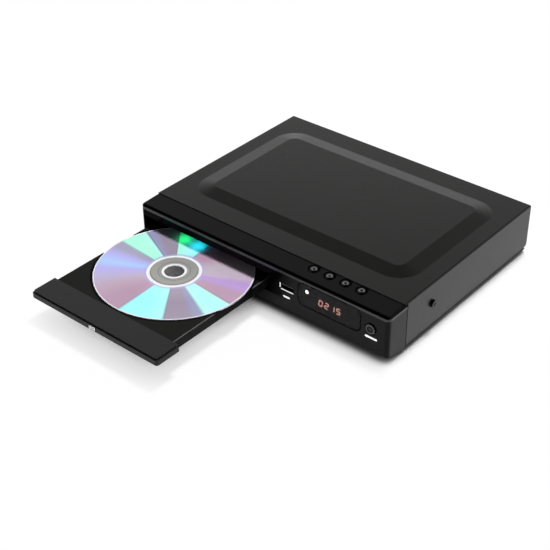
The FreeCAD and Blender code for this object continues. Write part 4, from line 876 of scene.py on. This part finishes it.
def makeSky():
    # bright low down and behind on the left, dark overhead; the camera sees plain white
    world = bpy.data.worlds.new("sky")
    bpy.context.scene.world = world
    paint = Paint("sky", world)
    direction = paint.node("ShaderNodeTexCoord", output="Generated")
    outputs = paint.node("ShaderNodeSeparateXYZ", {}, {0: direction}).socket.node.outputs
    x, y, height = [Wire(paint, outputs[part]) for part in range(3)]
    turn = studio["skyTurn"]
    level = (x * x + y * y + 0.0001) ** 0.5
    side = (x * turn[0] + y * turn[1]) / level * studio["skySide"] + (1 - studio["skySide"])
    stops = [(place, (shade, shade, shade, 1)) for place, shade in studio["sky"]]
    shade = paint.node("ShaderNodeValToRGB", {"stops": stops}, {0: height})
    seen = Wire(paint, paint.node("ShaderNodeLightPath").socket.node.outputs["Is Camera Ray"])
    light = paint.node("ShaderNodeBackground", {}, {"Color": shade, "Strength": side * studio["skyStrength"]})
    white = paint.node("ShaderNodeBackground", {}, {"Color": (1, 1, 1, 1), "Strength": 1.0})
    sky = paint.node("ShaderNodeMixShader", {}, {0: seen, 1: light, 2: white})
    paint.output(sky, "ShaderNodeOutputWorld")


def makeLamps():
    for name, look in studio["lamps"].items():
        lamp = bpy.data.lights.new(name, "AREA")
        lamp.shape = "DISK"
        lamp.size = look["size"]
        lamp.energy = look["power"]
        lamp.color = look.get("colour", (1, 1, 1))
        made = bpy.data.objects.new(name, lamp)
        place = Vector(look["place"])
        aim = Vector(look.get("aim", (0, 0, 0)))
        made.location = place
        made.rotation_euler = (aim - place).to_track_quat("-Z", "Y").to_euler()
        made.visible_diffuse = look.get("skips") != "diffuse"
        made.visible_glossy = look.get("skips") != "glossy"
        bpy.context.scene.collection.objects.link(made)
        if "lights" in look:
            lit = bpy.data.collections.new(name + "_lights")
            lit.objects.link(bpy.data.objects[look["lights"]])
            made.light_linking.receiver_collection = lit


cameraLook = {"target": (0.002975, -0.020963, 0.016957), "azimuth": 40.286, "elevation": 34.746,
              "roll": -0.536, "distance": 0.911727, "lens": 80.166, "sensor": 36.0, "clip": (0.01, 60)}


def makeCamera():
    look = cameraLook
    azimuth = math.radians(look["azimuth"])
    elevation = math.radians(look["elevation"])
    back = Vector((math.sin(azimuth) * math.cos(elevation), -math.cos(azimuth) * math.cos(elevation),
                   math.sin(elevation)))
    lens = bpy.data.cameras.new("camera")
    lens.lens = look["lens"]
    lens.sensor_width = look["sensor"]
    lens.sensor_fit = "HORIZONTAL"
    lens.clip_start, lens.clip_end = look["clip"]
    made = bpy.data.objects.new("camera", lens)
    made.location = Vector(look["target"]) + back * look["distance"]
    level = back.to_track_quat("Z", "Y").to_matrix()
    made.rotation_euler = (level @ Matrix.Rotation(math.radians(look["roll"]), 3, "Z")).to_euler()
    bpy.context.scene.collection.objects.link(made)
    bpy.context.scene.camera = made


makeFloor()
makeSky()
makeLamps()
makeCamera()
bpy.context.scene.view_settings.view_transform = "Standard"
print("studio made")
